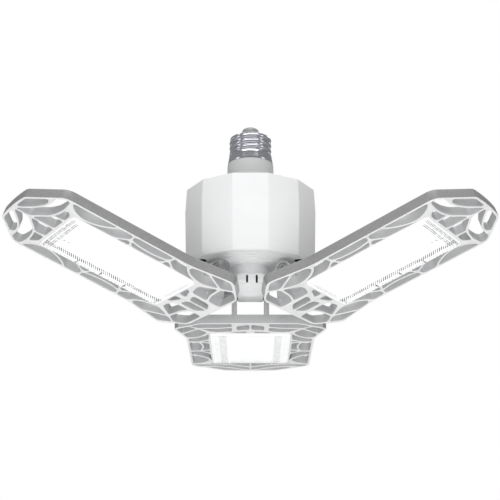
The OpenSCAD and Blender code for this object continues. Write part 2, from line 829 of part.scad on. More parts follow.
module connector() {
    edge_x = lens_in + lens_l - lens_t - board_gap - fit_gap - connector_l;
    color("ivory") translate([edge_x, -connector_w / 2, board_z - connector_h]) {
        cube([connector_l, connector_w, connector_h]);
    }
}

module gasket() {
    lens_mid = lens_in + lens_l / 2;
    color("gray") translate([lens_mid, 0, plate_bottom - gasket_t]) difference() {
        rounded_plate(lens_l, lens_w, lens_corner_r, gasket_t);
        translate([0, 0, -overrun]) {
            rounded_plate(lens_l - 2 * gasket_w, lens_w - 2 * gasket_w, lens_corner_r,
                gasket_t + 2 * overrun);
        }
    }
}

module lens() {
    lens_mid = lens_in + lens_l / 2;
    lens_h = plate_bottom - gasket_t - lens_face_z;
    color("aliceblue") translate([lens_mid, 0, lens_face_z]) difference() {
        rounded_plate(lens_l, lens_w, lens_corner_r, lens_h);
        translate([0, 0, lens_t]) {
            rounded_plate(lens_l - 2 * lens_t, lens_w - 2 * lens_t, lens_corner_r, lens_h);
        }
        for (share = tab_shares, side = [-1, 1]) {
            y = side > 0 ? lens_w / 2 - tab_w : -lens_w / 2 - overrun;
            translate([(share - 0.5) * lens_l - tab_l / 2, y, -overrun]) {
                cube([tab_l, tab_w + overrun, overrun + tab_depth]);
            }
        }
    }
}

module hinge_bolt() {
    seat = arm_out - bolt_pocket_h;
    color("silver") translate([0, -seat, 0]) rotate([-90, 0, 0]) {
        cylinder(r = bolt_r, h = 2 * seat + nut_l / 2);
        difference() {
            translate([0, 0, -bolt_head_h]) cylinder(r = bolt_head_r, h = bolt_head_h);
            translate([0, 0, -bolt_head_h - overrun]) {
                cylinder(r = bolt_socket_r, h = bolt_socket_h + overrun, $fn = 6);
            }
        }
    }
}

module hinge_nut() {
    seat = arm_out - bolt_pocket_h;
    color("silver") translate([0, seat, 0]) rotate([-90, 0, 0]) difference() {
        cylinder(r = nut_r, h = nut_l);
        translate([0, 0, -overrun]) cylinder(r = bolt_r, h = nut_l / 2 + overrun);
    }
}

module washers() {
    color("dimgray") mirrored_y() translate([0, tongue_w / 2 + washer_gap, 0]) rotate([-90, 0, 0]) {
        ring(washer_r, bolt_r + run_gap, washer_t);
    }
}

left_azimuth = panel_azimuths[0];
right_azimuth = panel_azimuths[1];
rear_azimuth = panel_azimuths[2];

contact_tip();
base_insulator();
screw_shell();
base_collar();
housing_cover();
housing_base();
cover_screws();
hub_body();
hub_screws();
hub_cap();
driver_board();
transformer();
input_capacitor();
output_capacitor();
bridge_rectifier();
line_choke();
fuse_resistor();
line_lead();
neutral_lead();
at_panel(left_azimuth, front_tilt) panel_frame();  // left_frame
at_panel(left_azimuth, front_tilt) board();  // left_board
at_panel(left_azimuth, front_tilt) leds();  // left_leds
at_panel(left_azimuth, front_tilt) board_screws();  // left_board_screws
at_panel(left_azimuth, front_tilt) connector();  // left_connector
at_panel(left_azimuth, front_tilt) gasket();  // left_gasket
at_panel(left_azimuth, front_tilt) lens();  // left_lens
at_panel(left_azimuth, front_tilt) hinge_bolt();  // left_hinge_bolt
at_panel(left_azimuth, front_tilt) hinge_nut();  // left_hinge_nut
at_panel(left_azimuth, front_tilt) washers();  // left_washers
at_panel(right_azimuth, front_tilt) panel_frame();  // right_frame
at_panel(right_azimuth, front_tilt) board();  // right_board
at_panel(right_azimuth, front_tilt) leds();  // right_leds
at_panel(right_azimuth, front_tilt) board_screws();  // right_board_screws
at_panel(right_azimuth, front_tilt) connector();  // right_connector
at_panel(right_azimuth, front_tilt) gasket();  // right_gasket
at_panel(right_azimuth, front_tilt) lens();  // right_lens
at_panel(right_azimuth, front_tilt) hinge_bolt();  // right_hinge_bolt
at_panel(right_azimuth, front_tilt) hinge_nut();  // right_hinge_nut
at_panel(right_azimuth, front_tilt) washers();  // right_washers
at_panel(rear_azimuth, rear_tilt) panel_frame();  // rear_frame
at_panel(rear_azimuth, rear_tilt) board();  // rear_board
at_panel(rear_azimuth, rear_tilt) leds();  // rear_leds
at_panel(rear_azimuth, rear_tilt) board_screws();  // rear_board_screws
at_panel(rear_azimuth, rear_tilt) connector();  // rear_connector
at_panel(rear_azimuth, rear_tilt) gasket();  // rear_gasket
at_panel(rear_azimuth, rear_tilt) lens();  // rear_lens
at_panel(rear_azimuth, rear_tilt) hinge_bolt();  // rear_hinge_bolt
at_panel(rear_azimuth, rear_tilt) hinge_nut();  // rear_hinge_nut
at_panel(rear_azimuth, rear_tilt) washers();  // rear_washers
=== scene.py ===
"""Blender scene of a screw-in garage ceiling light with three hinged LED panels.

The pieces are modelled in millimetres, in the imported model's frame, and set down in metres.
A panel's own frame has its origin on the hinge axis, X out along the panel and Z to the ceiling.
"""

import functools
import logging
import math
from collections.abc import Callable, Iterable, Sequence
from dataclasses import dataclass, field, replace
from enum import Enum

import bmesh
import bpy
from mathutils import Matrix, Vector


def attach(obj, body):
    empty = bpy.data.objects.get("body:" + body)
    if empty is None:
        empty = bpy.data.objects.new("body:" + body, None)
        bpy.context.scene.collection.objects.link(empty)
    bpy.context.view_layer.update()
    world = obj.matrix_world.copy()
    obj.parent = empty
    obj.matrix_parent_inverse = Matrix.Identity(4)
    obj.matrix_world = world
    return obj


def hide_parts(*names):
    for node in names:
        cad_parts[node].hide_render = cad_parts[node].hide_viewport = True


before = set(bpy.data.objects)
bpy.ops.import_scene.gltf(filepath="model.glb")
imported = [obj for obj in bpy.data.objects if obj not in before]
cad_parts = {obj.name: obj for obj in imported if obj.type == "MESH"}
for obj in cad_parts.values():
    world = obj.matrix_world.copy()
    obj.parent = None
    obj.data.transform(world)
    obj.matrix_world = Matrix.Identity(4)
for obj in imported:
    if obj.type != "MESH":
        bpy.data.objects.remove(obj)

LOG = logging.getLogger("garage_light")
MM = 0.001
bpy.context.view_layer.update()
HINGE = (28.5, -75.0)
WHITE = (1.0, 1.0, 1.0, 1.0)
Point = tuple[float, float]
Triple = tuple[float, float, float]


def turned(degrees: float) -> Matrix:
    """A turn about the lamp's axis."""
    return Matrix.Rotation(math.radians(degrees), 4, "Z")


class Facing(Enum):
    """How a flat drawing stands before it is turned into place: where its U, V and height point."""

    FLAT = Matrix(((1, 0, 0, 0), (0, 1, 0, 0), (0, 0, 1, 0), (0, 0, 0, 1)))
    OUTWARD = Matrix(((0, 0, 1, 0), (1, 0, 0, 0), (0, 1, 0, 0), (0, 0, 0, 1)))
    SIDEWAYS = Matrix(((1, 0, 0, 0), (0, 0, -1, 0), (0, 1, 0, 0), (0, 0, 0, 1)))


class Side(Enum):
    """The panels: each one's name, the direction that it points in, in degrees, and its upward tilt."""

    LEFT = ("left", 210.0, 19.2)
    RIGHT = ("right", 330.0, 19.2)
    REAR = ("rear", 90.0, 0.0)

    @property
    def label(self) -> str:
        """The panel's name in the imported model."""
        return self.value[0]

    @property
    def body(self) -> str:
        """The body that the panel's pieces ride on."""
        return f"{self.label}_panel"

    @property
    def facing(self) -> Matrix:
        """The turn from the X axis to the panel's direction."""
        return turned(self.value[1])

    @property
    def placed(self) -> Matrix:
        """The move from the panel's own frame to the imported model's, in millimetres."""
        tilt = Matrix.Rotation(math.radians(-self.value[2]), 4, "Y")
        return self.facing @ Matrix.Translation(Vector((HINGE[0], 0.0, HINGE[1]))) @ tilt


# Drawing helpers


def arc(radius: float, degrees: Iterable[float], centre: Point = (0.0, 0.0)) -> list[Point]:
    """Points on a circle at the given directions."""
    turns = [math.radians(a) for a in degrees]
    return [(centre[0] + radius * math.cos(t), centre[1] + radius * math.sin(t)) for t in turns]


def circle(radius: float, count: int, centre: Point = (0.0, 0.0)) -> list[Point]:
    """Points evenly spaced on a circle, counter-clockwise."""
    return arc(radius, [360.0 * i / count for i in range(count)], centre)


def box(u: Point, v: Point) -> list[Point]:
    """The corners of a rectangle between two values across and two values up."""
    return [(u[0], v[0]), (u[1], v[0]), (u[1], v[1]), (u[0], v[1])]


def rounded(corners: Sequence[Point], radius: float, steps: int = 4, closed: bool = True) -> list[Point]:
    """A drawing with its corners rounded.

    Args:
        corners: the drawing's corners in order.
        radius: how far from a corner its rounding starts, at most 0.45 of the shorter edge.
        steps: how many edges each rounding has.
        closed: whether the last corner joins the first; an open drawing keeps its two ends.

    Returns:
        The rounded drawing's points.
    """
    count = len(corners)
    made: list[Point] = []
    for i, corner in enumerate(corners):
        if not closed and i in (0, count - 1):
            made.append(corner)
            continue
        here = Vector(corner)
        before, after = Vector(corners[i - 1]) - here, Vector(corners[(i + 1) % count]) - here
        reach = min(radius, 0.45 * before.length, 0.45 * after.length)
        start, end = here + before.normalized() * reach, here + after.normalized() * reach
        for k in range(steps + 1):
            t = k / steps
            spot = start * (1 - t) ** 2 + here * (2 * t * (1 - t)) + end * t**2
            made.append((spot.x, spot.y))
    return made


def offset(loop: Sequence[Point], distance: float) -> list[Point]:
    """A closed loop moved sideways, outward where distance is above zero.

    Args:
        loop: the loop's points, in either sense.
        distance: how far each side moves.

    Returns:
        The moved points, one for one.
    """
    count = len(loop)
    ahead = [*loop[1:], loop[0]]
    sense = math.copysign(1.0, sum(a[0] * b[1] - b[0] * a[1] for a, b in zip(loop, ahead, strict=True)))
    made = []
    for i in range(count):
        here = Vector(loop[i])
        first, second = (here - Vector(loop[i - 1])).normalized(), (Vector(ahead[i]) - here).normalized()
        a, b = Vector((first.y, -first.x)) * sense, Vector((second.y, -second.x)) * sense
        spot = here + (a + b) * distance / max(0.35, 1 + a.dot(b))
        made.append((spot.x, spot.y))
    return made


def gap_to(loop: Sequence[Point], spot: Point) -> float:
    """The distance from a point to the nearest side of a closed loop.

    Args:
        loop: the loop's corners.
        spot: the point.

    Returns:
        The distance.
    """
    best = math.inf
    for (ax, ay), (bx, by) in zip(loop, [*loop[1:], loop[0]], strict=True):
        run_x, run_y = bx - ax, by - ay
        along = (spot[0] - ax) * run_x + (spot[1] - ay) * run_y
        share = max(0.0, min(1.0, along / ((run_x * run_x + run_y * run_y) or 1.0)))
        best = min(best, math.hypot(spot[0] - ax - share * run_x, spot[1] - ay - share * run_y))
    return best


def faceted(sides: int, apothem: float, corner_r: float, z: float, first: float = 0.0) -> list[Vector]:
    """A ring with flat sides and rounded corners.

    Args:
        sides: how many sides.
        apothem: the distance from the middle to a side.
        corner_r: the radius of the corners.
        z: the ring's height.
        first: the direction of the first corner, in degrees.

    Returns:
        The ring's points.
    """
    half = 180.0 / sides
    back = (apothem - corner_r) / math.cos(math.radians(half))
    made = []
    for k in range(sides):
        middle = first + 2 * half * k
        centre = arc(back, [middle])[0]
        corner = arc(corner_r, [middle + half * share for share in (-1.0, -0.5, 0.0, 0.5, 1.0)], centre)
        made += [Vector((x, y, z)) for x, y in corner]
    return made


# Modelling


def clear_selection() -> None:
    """Leaves edit mode and deselects every object."""
    if bpy.context.object and bpy.context.object.mode != "OBJECT":
        bpy.ops.object.mode_set(mode="OBJECT")
    bpy.ops.object.select_all(action="DESELECT")


@dataclass
class Workpiece:
    """A mesh on the bench, in millimetres.

    Attributes:
        item: the Blender object.
    """

    item: bpy.types.Object

    @classmethod
    def loop(cls, name: str, spots: Sequence[Vector]) -> "Workpiece":
        """Starts a piece from one closed loop.

        Args:
            name: the piece's name.
            spots: the loop's points.

        Returns:
            The piece, in edit mode with the loop selected.
        """
        clear_selection()
        bpy.ops.mesh.primitive_circle_add(vertices=len(spots), radius=1.0)
        item = bpy.context.object
        item.name = item.data.name = name
        bpy.ops.object.mode_set(mode="EDIT")
        piece = cls(item)
        piece.number(spots, 0)
        return piece

    def number(self, spots: Sequence[Vector], start: int) -> None:
        """Moves the mesh's last points to these spots and numbers them from start.

        Args:
            spots: where the points go.
            start: the first point's number.
        """
        mesh = bmesh.from_edit_mesh(self.item.data)
        layer = mesh.verts.layers.int.get("spot") or mesh.verts.layers.int.new("spot")
        mesh.verts.ensure_lookup_table()
        for k, vertex in enumerate(mesh.verts[-len(spots) :]):
            vertex.co, vertex[layer] = spots[k], start + k
        bmesh.update_edit_mesh(self.item.data)

    def extrude_to(self, spots: Sequence[Vector], extrude: Callable) -> None:
        """Extrudes what is selected and moves each new point to the spot of its number.

        Args:
            spots: the spots of all the piece's numbered points.
            extrude: the mesh operator that extrudes.
        """
        extrude(TRANSFORM_OT_translate={"value": (0.0, 0.0, 0.0)})
        mesh = bmesh.from_edit_mesh(self.item.data)
        layer = mesh.verts.layers.int["spot"]
        for vertex in mesh.verts:
            if vertex.select:
                vertex.co = spots[vertex[layer]]
        bmesh.update_edit_mesh(self.item.data)

    @classmethod
    def stacked(cls, name: str, rings: Sequence[Sequence[Vector]], closed: bool = True) -> "Workpiece":
        """A piece built up from rings with the same number of points.

        Args:
            name: the piece's name.
            rings: the rings in order.
            closed: whether faces close the first and the last ring.

        Returns:
            The piece.
        """
        piece = cls.loop(name, rings[0])
        if closed:
            bpy.ops.mesh.edge_face_add()
            bpy.ops.mesh.select_mode(type="EDGE")
            bpy.ops.mesh.select_all(action="SELECT")
            bpy.ops.mesh.select_mode(type="VERT")
        for ring in rings[1:]:
            piece.extrude_to(ring, bpy.ops.mesh.extrude_edges_move)
        if closed:
            bpy.ops.mesh.edge_face_add()
        return piece.tidied()

    @classmethod
    def spun(cls, name: str, section: Sequence[Point], closed: bool = True, steps: int = 96) -> "Workpiece":
        """A turned piece.

        Args:
            name: the piece's name.
            section: its section as radius and height.
            closed: whether the section is a closed loop; an open one starts and ends on the axis.
            steps: how many faces go round.

        Returns:
            The piece.
        """
        piece = cls.loop(name, [Vector((r, 0.0, z)) for r, z in section])
        if not closed:
            mesh = bmesh.from_edit_mesh(piece.item.data)
            mesh.verts.ensure_lookup_table()
            ends = {mesh.verts[0], mesh.verts[len(section) - 1]}
            bmesh.ops.delete(mesh, geom=[e for e in mesh.edges if set(e.verts) == ends], context="EDGES")
            bmesh.update_edit_mesh(piece.item.data)
        bpy.ops.mesh.select_all(action="SELECT")
        bpy.ops.mesh.spin(steps=steps, angle=math.tau, center=(0.0, 0.0, 0.0), axis=(0.0, 0.0, 1.0))
        return piece.tidied()

    @classmethod
    def plate(
        cls, name: str, loops: Sequence[Sequence[Point]], levels: Sequence[Triple], facing: Facing = Facing.FLAT
    ) -> "Workpiece":
        """A plate with holes whose edges are shaped level by level.

        Args:
            name: the piece's name.
            loops: the outline first, then the holes.
            levels: for each level its height, how far the outline draws in, and how far the holes widen.
            facing: how the plate stands.

        Returns:
            The piece.
        """

        def spots(level: Triple) -> list[Vector]:
            """The points of all the loops at a level."""
            drawn = [offset(loops[0], -level[1])] + [offset(loop, level[2]) for loop in loops[1:]]
            return [Vector((u, v, level[0])) for loop in drawn for u, v in loop]

        first, done = spots(levels[0]), len(loops[0])
        piece = cls.loop(name, first[:done])
        for loop in loops[1:]:
            bpy.ops.mesh.primitive_circle_add(vertices=len(loop), radius=1.0)
            piece.number(first[done : done + len(loop)], done)
            done += len(loop)
        bpy.ops.mesh.select_all(action="SELECT")
        bpy.ops.mesh.fill(use_beauty=False)
        for level in levels[1:]:
            piece.extrude_to(spots(level), bpy.ops.mesh.extrude_region_move)
        bpy.ops.object.mode_set(mode="OBJECT")
        return piece.moved(facing.value).tidied()

    @classmethod
    def block(
        cls, name: str, outline: Sequence[Point], low: float, high: float, facing: Facing = Facing.FLAT
    ) -> "Workpiece":
        """A plain plate between two heights."""
        return cls.plate(name, [outline], [(low, 0.0, 0.0), (high, 0.0, 0.0)], facing)

    def held(self) -> "Workpiece":
        """The piece as the only selected object, and the active one.

        Returns:
            The piece.
        """
        clear_selection()
        self.item.select_set(True)
        bpy.context.view_layer.objects.active = self.item
        return self

    def tidied(self) -> "Workpiece":
        """The piece in object mode, with doubles merged and faces outward.

        Returns:
            The piece.
        """
        self.held()
        bpy.ops.object.mode_set(mode="EDIT")
        bpy.ops.mesh.select_all(action="SELECT")
        bpy.ops.mesh.remove_doubles(threshold=0.002)
        bpy.ops.mesh.normals_make_consistent(inside=False)
        bpy.ops.object.mode_set(mode="OBJECT")
        return self

    def moved(self, move: Matrix) -> "Workpiece":
        """The piece moved by a matrix in millimetres.

        Args:
            move: the matrix.

        Returns:
            The piece.
        """
        self.item.data.transform(move)
        self.item.data.update()
        return self

    def modified(self, kind: str, **settings: object) -> "Workpiece":
        """The piece with a modifier added and applied.

        Args:
            kind: the modifier's type.
            **settings: the modifier's settings.

        Returns:
            The piece.
        """
        self.held()
        bpy.ops.object.modifier_add(type=kind)
        modifier = self.item.modifiers[-1]
        for key, value in settings.items():
            setattr(modifier, key, value)
        bpy.ops.object.modifier_apply(modifier=modifier.name)
        return self

    def cut_by(self, cutter: "Workpiece") -> "Workpiece":
        """The piece with the cutter taken away from it, and the cutter gone.

        Args:
            cutter: the piece that is taken away.

        Returns:
            The piece.
        """
        self.modified(
            "BOOLEAN", operation="DIFFERENCE", object=cutter.item, solver="EXACT", material_mode="TRANSFER"
        )
        bpy.data.objects.remove(cutter.item)
        return self

    def joined(self, *others: "Workpiece") -> "Workpiece":
        """The piece with other pieces joined to it.

        Args:
            *others: the pieces that join it.

        Returns:
            The piece.
        """
        self.held()
        for other in others:
            other.item.select_set(True)
        bpy.ops.object.join()
        return self

    def mirrored(self, axis: Triple) -> "Workpiece":
        """A copy with its own mesh, mirrored along an axis.

        Args:
            axis: the axis.

        Returns:
            The copy.
        """
        self.held()
        bpy.ops.object.duplicate(linked=False)
        return Workpiece(bpy.context.object).moved(Matrix.Scale(-1.0, 4, Vector(axis))).tidied()

    def dressed(self, *finishes: "Finish") -> "Workpiece":
        """The piece with these finishes as its material slots, in order.

        Args:
            *finishes: the finishes.

        Returns:
            The piece.
        """
        self.item.data.materials.clear()
        for finish in finishes:
            self.item.data.materials.append(finish.material())
        return self

    def flatten_uv(self, lean: float) -> "Workpiece":
        """Writes the piece's X and Y, in tenths of a metre, as its UV map.

        Args:
            lean: 1, or -1 where the marks lie on the other long edge.

        Returns:
            The piece.
        """
        data = self.item.data
        layer = data.uv_layers.new(name="flat") if not data.uv_layers else data.uv_layers[0]
        layer.name = "flat"
        for corner in data.loops:
            spot = data.vertices[corner.vertex_index].co
            layer.data[corner.index].uv = (spot.x / 100, lean * spot.y / 100)
        return self

    def set_down(
        self, body: str, slot: str, node: str, move: Matrix | None = None, smooth: float = 40.0
    ) -> None:
        """Finishes the piece: places it in metres, smooths it and hands it to its body.

        Args:
            body: the body that it rides on.
            slot: not used.
            node: the CAD node that it stands for.
            move: the last move, in millimetres.
            smooth: edges sharper than this many degrees stay sharp.
        """
        self.moved(Matrix.Scale(MM, 4) @ (move or Matrix.Identity(4))).held()
        bpy.ops.object.shade_smooth_by_angle(angle=math.radians(smooth))
        layer = self.item.data.attributes.get("spot")
        if layer:
            self.item.data.attributes.remove(layer)
        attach(self.item, body)
        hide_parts(node)
        LOG.info("%s: %d faces on %s", self.item.name, len(self.item.data.polygons), body)


# Finishes


class Effect(Enum):
    """The shader groups that the finishes share."""

    DRIFT = "colour_drift"
    GRAIN = "surface_grain"
    # Painted highlight: a lighter colour along convex edges.
    EDGE = "edge_catch"
    DUST = "settled_dust"
    STIPPLE = "lens_stipple"


@dataclass(frozen=True)
class Wiring:
    """A shader tree being wired; an input is a socket to link or a plain value.

    Attributes:
        tree: the tree.
    """

    tree: bpy.types.NodeTree

    def add(self, kind: str, values: dict | None = None, **settings: object) -> bpy.types.Node:
        """Adds a node.

        Args:
            kind: its type, without the prefix that all types share.
            values: its inputs, by name or number.
            **settings: its settings.

        Returns:
            The node.
        """
        node = self.tree.nodes.new(f"ShaderNode{kind}")
        for key, value in settings.items():
            setattr(node, key, value)
        for key, value in (values or {}).items():
            self.feed(node.inputs[key], value)
        return node

    def feed(self, socket: bpy.types.NodeSocket, value: object) -> None:
        """Links a socket to another one, or sets it to a plain value.

        Args:
            socket: the input.
            value: the socket to link, or the value.
        """
        if isinstance(value, bpy.types.NodeSocket):
            self.tree.links.new(value, socket)
        else:
            socket.default_value = value

    def noise(self, vector: object, scale: object, detail: float) -> bpy.types.NodeSocket:
        """A noise texture's value, with this scale and number of octaves."""
        return self.add("TexNoise", {"Vector": vector, "Scale": scale, "Detail": detail}).outputs["Fac"]

    def math(self, operation: str, *values: object) -> bpy.types.NodeSocket:
        """The result of a math node."""
        return self.add("Math", dict(enumerate(values)), operation=operation).outputs[0]

    def times(self, *values: object) -> bpy.types.NodeSocket:
        """The product of two or more values."""
        return functools.reduce(functools.partial(self.math, "MULTIPLY"), values)

    def ranged(
        self, value: object, low: float, high: float, to_low: object = 0.0, to_high: object = 1.0
    ) -> bpy.types.NodeSocket:
        """A value mapped from the range low to high to the range to_low to to_high, and clamped."""
        limits = {"From Min": low, "From Max": high, "To Min": to_low, "To Max": to_high}
        return self.add("MapRange", {"Value": value, **limits}).outputs[0]

    def blended(self, factor: object, first: object, second: object) -> bpy.types.NodeSocket:
        """A mix of two colours by a factor."""
        return self.add("Mix", {0: factor, 6: first, 7: second}, data_type="RGBA").outputs[2]

    def inside(self, value: object, low: float, high: float) -> bpy.types.NodeSocket:
        """A mask that is 1 between two values, with soft ends.

        Args:
            value: the value's socket.
            low: the lower value.
            high: the upper value.

        Returns:
            The mask's socket.
        """
        soft = 0.15
        rise = self.ranged(value, low - soft, low + soft)
        return self.times(rise, self.ranged(value, high - soft, high + soft, 1.0, 0.0))

    def comb(self, value: object, pitch: float, fill: float) -> bpy.types.NodeSocket:
        """A mask of evenly spaced strokes.

        Args:
            value: the value's socket, in millimetres.
            pitch: the distance between strokes.
            fill: how far each stroke fills its pitch, from -1 to 1.

        Returns:
            The mask's socket.
        """
        wave = self.math("SINE", self.times(value, math.tau / pitch))
        return self.ranged(wave, -fill - 0.35, -fill + 0.35)

    def group(self, effect: Effect, **values: object) -> bpy.types.Node:
        """Adds a shared group with these inputs.

        Args:
            effect: which group.
            **values: its inputs.

        Returns:
            The group's node.
        """
        node = self.add("Group", node_tree=EFFECTS.get(effect))
        for name, value in values.items():
            self.feed(node.inputs[name], value)
        return node


class EffectShop:
    """Builds each shared shader group once and hands it out."""

    def __init__(self) -> None:
        """Starts with no groups built."""
        self.built: dict[Effect, bpy.types.NodeTree] = {}

    def get(self, effect: Effect) -> bpy.types.NodeTree:
        """The group for an effect, built on first use by the method of the same name.

        Args:
            effect: the effect.

        Returns:
            The group's tree.
        """
        if effect not in self.built:
            self.built[effect] = getattr(self, effect.name.lower())().tree
        return self.built[effect]

    @staticmethod
    def started(effect: Effect, results: Sequence[str], **given: object) -> tuple:
        """A new group with its sockets.

        Args:
            effect: which effect it is.
            results: the names of its outputs; Colour is a colour and the others are numbers.
            **given: each input's first value, with None for a vector.

        Returns:
            The group's wiring, its input's sockets and its output's sockets.
        """
        kinds = {type(None): "Vector", float: "Float", tuple: "Color"}
        tree = bpy.data.node_groups.new(effect.value, "ShaderNodeTree")
        for name, value in given.items():
            kind = f"NodeSocket{kinds[type(value)]}"
            socket = tree.interface.new_socket(name=name, in_out="INPUT", socket_type=kind)
            if value is not None:
                socket.default_value = value
        for name in results:
            kind = "NodeSocketColor" if name == "Colour" else "NodeSocketFloat"
            tree.interface.new_socket(name=name, in_out="OUTPUT", socket_type=kind)
        source, end = tree.nodes.new("NodeGroupInput"), tree.nodes.new("NodeGroupOutput")
        return Wiring(tree), source.outputs, end.inputs

    def drift(self) -> Wiring:
        """Colour that wanders a little over the surface.

        Returns:
            The group's wiring.
        """
        wire, given, result = self.started(
            Effect.DRIFT, ["Colour"], Vector=None, Colour=WHITE, Shade=WHITE, Scale=60.0, Amount=0.3
        )
        cloud = wire.noise(given["Vector"], given["Scale"], 5.0)
        mask = wire.times(wire.ranged(cloud, 0.35, 0.7), given["Amount"])
        wire.feed(result["Colour"], wire.blended(mask, given["Colour"], given["Shade"]))
        return wire

    def grain(self) -> Wiring:
        """Fine grain as a height, and roughness that varies with it.

        Returns:
            The group's wiring.
        """
        wire, given, result = self.started(
            Effect.GRAIN, ["Height", "Roughness"], Vector=None, Scale=1500.0, Low=0.4, High=0.5
        )
        fine = wire.noise(given["Vector"], given["Scale"], 3.0)
        broad = wire.noise(given["Vector"], wire.times(given["Scale"], 0.05), 4.0)
        both = wire.math("MULTIPLY_ADD", broad, 0.6, wire.times(fine, 0.4))
        wire.feed(result["Height"], fine)
        wire.feed(result["Roughness"], wire.ranged(both, 0.35, 0.65, given["Low"], given["High"]))
        return wire

    def edge(self) -> Wiring:
        """A painted highlight: a lighter colour along the outer edges, broken up a little.

        Returns:
            The group's wiring.
        """
        wire, given, result = self.started(
            Effect.EDGE, ["Colour"], Vector=None, Colour=WHITE, Edge=WHITE, Amount=0.4
        )
        rim = wire.ranged(wire.add("NewGeometry").outputs["Pointiness"], 0.52, 0.62)
        highlight_breakup = wire.ranged(wire.noise(given["Vector"], 900.0, 4.0), 0.35, 0.6)
        mask = wire.times(rim, highlight_breakup, given["Amount"])
        wire.feed(result["Colour"], wire.blended(mask, given["Colour"], given["Edge"]))
        return wire

    def dust(self) -> Wiring:
        """Dust on what faces the ceiling, in soft patches.

        Returns:
            The group's wiring.
        """
        wire, given, result = self.started(
            Effect.DUST, ["Colour"], Vector=None, Normal=None, Colour=WHITE, Dust=(0.55, 0.53, 0.5, 1.0),
            Amount=0.15,
        )
        apart = wire.add("SeparateXYZ", {0: given["Normal"]})
        upward = wire.ranged(apart.outputs["Z"], 0.3, 0.95)
        patches = wire.ranged(wire.noise(given["Vector"], 140.0, 6.0), 0.35, 0.7)
        mask = wire.times(upward, patches, given["Amount"])
        wire.feed(result["Colour"], wire.blended(mask, given["Colour"], given["Dust"]))
        return wire

    def stipple(self) -> Wiring:
        """The lens's printed border: its mask is 1 on a mark and 0 beside the marks.

        Returns:
            The group's wiring.
        """
        wire, given, result = self.started(Effect.STIPPLE, ["Mask"], Vector=None, Both=0.0)
        scaled = wire.add("VectorMath", {0: given["Vector"], "Scale": 100.0}, operation="SCALE")
        apart = wire.add("SeparateXYZ", {0: scaled.outputs[0]})
        along, side = apart.outputs["X"], apart.outputs["Y"]
        to_both = wire.math("SUBTRACT", wire.math("ABSOLUTE", side), side)
        lean = wire.math("MULTIPLY_ADD", given["Both"], to_both, side)
        slant = wire.math("MULTIPLY_ADD", lean, 0.45, along)
        length = wire.inside(along, 17.0, 94.4)
        dots = wire.times(wire.comb(lean, 2.0, -0.2), wire.comb(slant, 2.3, -0.3))
        middle = wire.times(wire.inside(lean, 3.6, 5.8), wire.inside(along, 84.4, 90.4))
        # The strokes along the lens, the dots outside them and the short row near the tip, in millimetres.
        marks = [
            wire.times(wire.inside(lean, 15.4, 20.2), wire.comb(slant, 1.35, 0.0), length),
            wire.times(0.6, dots, length, wire.inside(lean, 20.8, 24.8)),
            wire.times(0.6, middle, wire.comb(along, 2.9, -0.1)),
        ]
        # The rows across both ends: weight, start, end, pitch, fill and half length.
        for weight, start, end, pitch, fill, half in (
            (0.9, 89.7, 92.0, 1.9, 0.0, 22.0),
            (0.9, 92.6, 95.0, 1.9, 0.0, 24.4),
            (0.5, 17.0, 19.4, 2.1, -0.1, 24.4),
            (0.35, 20.2, 22.0, 2.1, -0.3, 21.0),
        ):
            row = wire.times(wire.inside(along, start, end), wire.inside(side, -half, half))
            marks.append(wire.times(weight, row, wire.comb(side, pitch, fill)))
        # The single strokes across the row of dots.
        for notch in (39.9, 55.8, 71.7):
            cut = wire.inside(along, notch - 0.45, notch + 0.45)
            marks.append(wire.times(cut, wire.inside(lean, 20.3, 24.8)))
        total = functools.reduce(functools.partial(wire.math, "MAXIMUM"), marks)
        worn = wire.ranged(wire.noise(scaled.outputs[0], 0.3, 3.0), 0.36, 0.56)
        wire.feed(result["Mask"], wire.times(total, wire.math("MULTIPLY_ADD", worn, 0.6, 0.4)))
        return wire


EFFECTS = EffectShop()


def grey(level: float, lean: float = 0.0) -> Triple:
    """A grey, with its green and blue a little above its red where lean is above zero."""
    return (level, level + lean, level + 2 * lean)


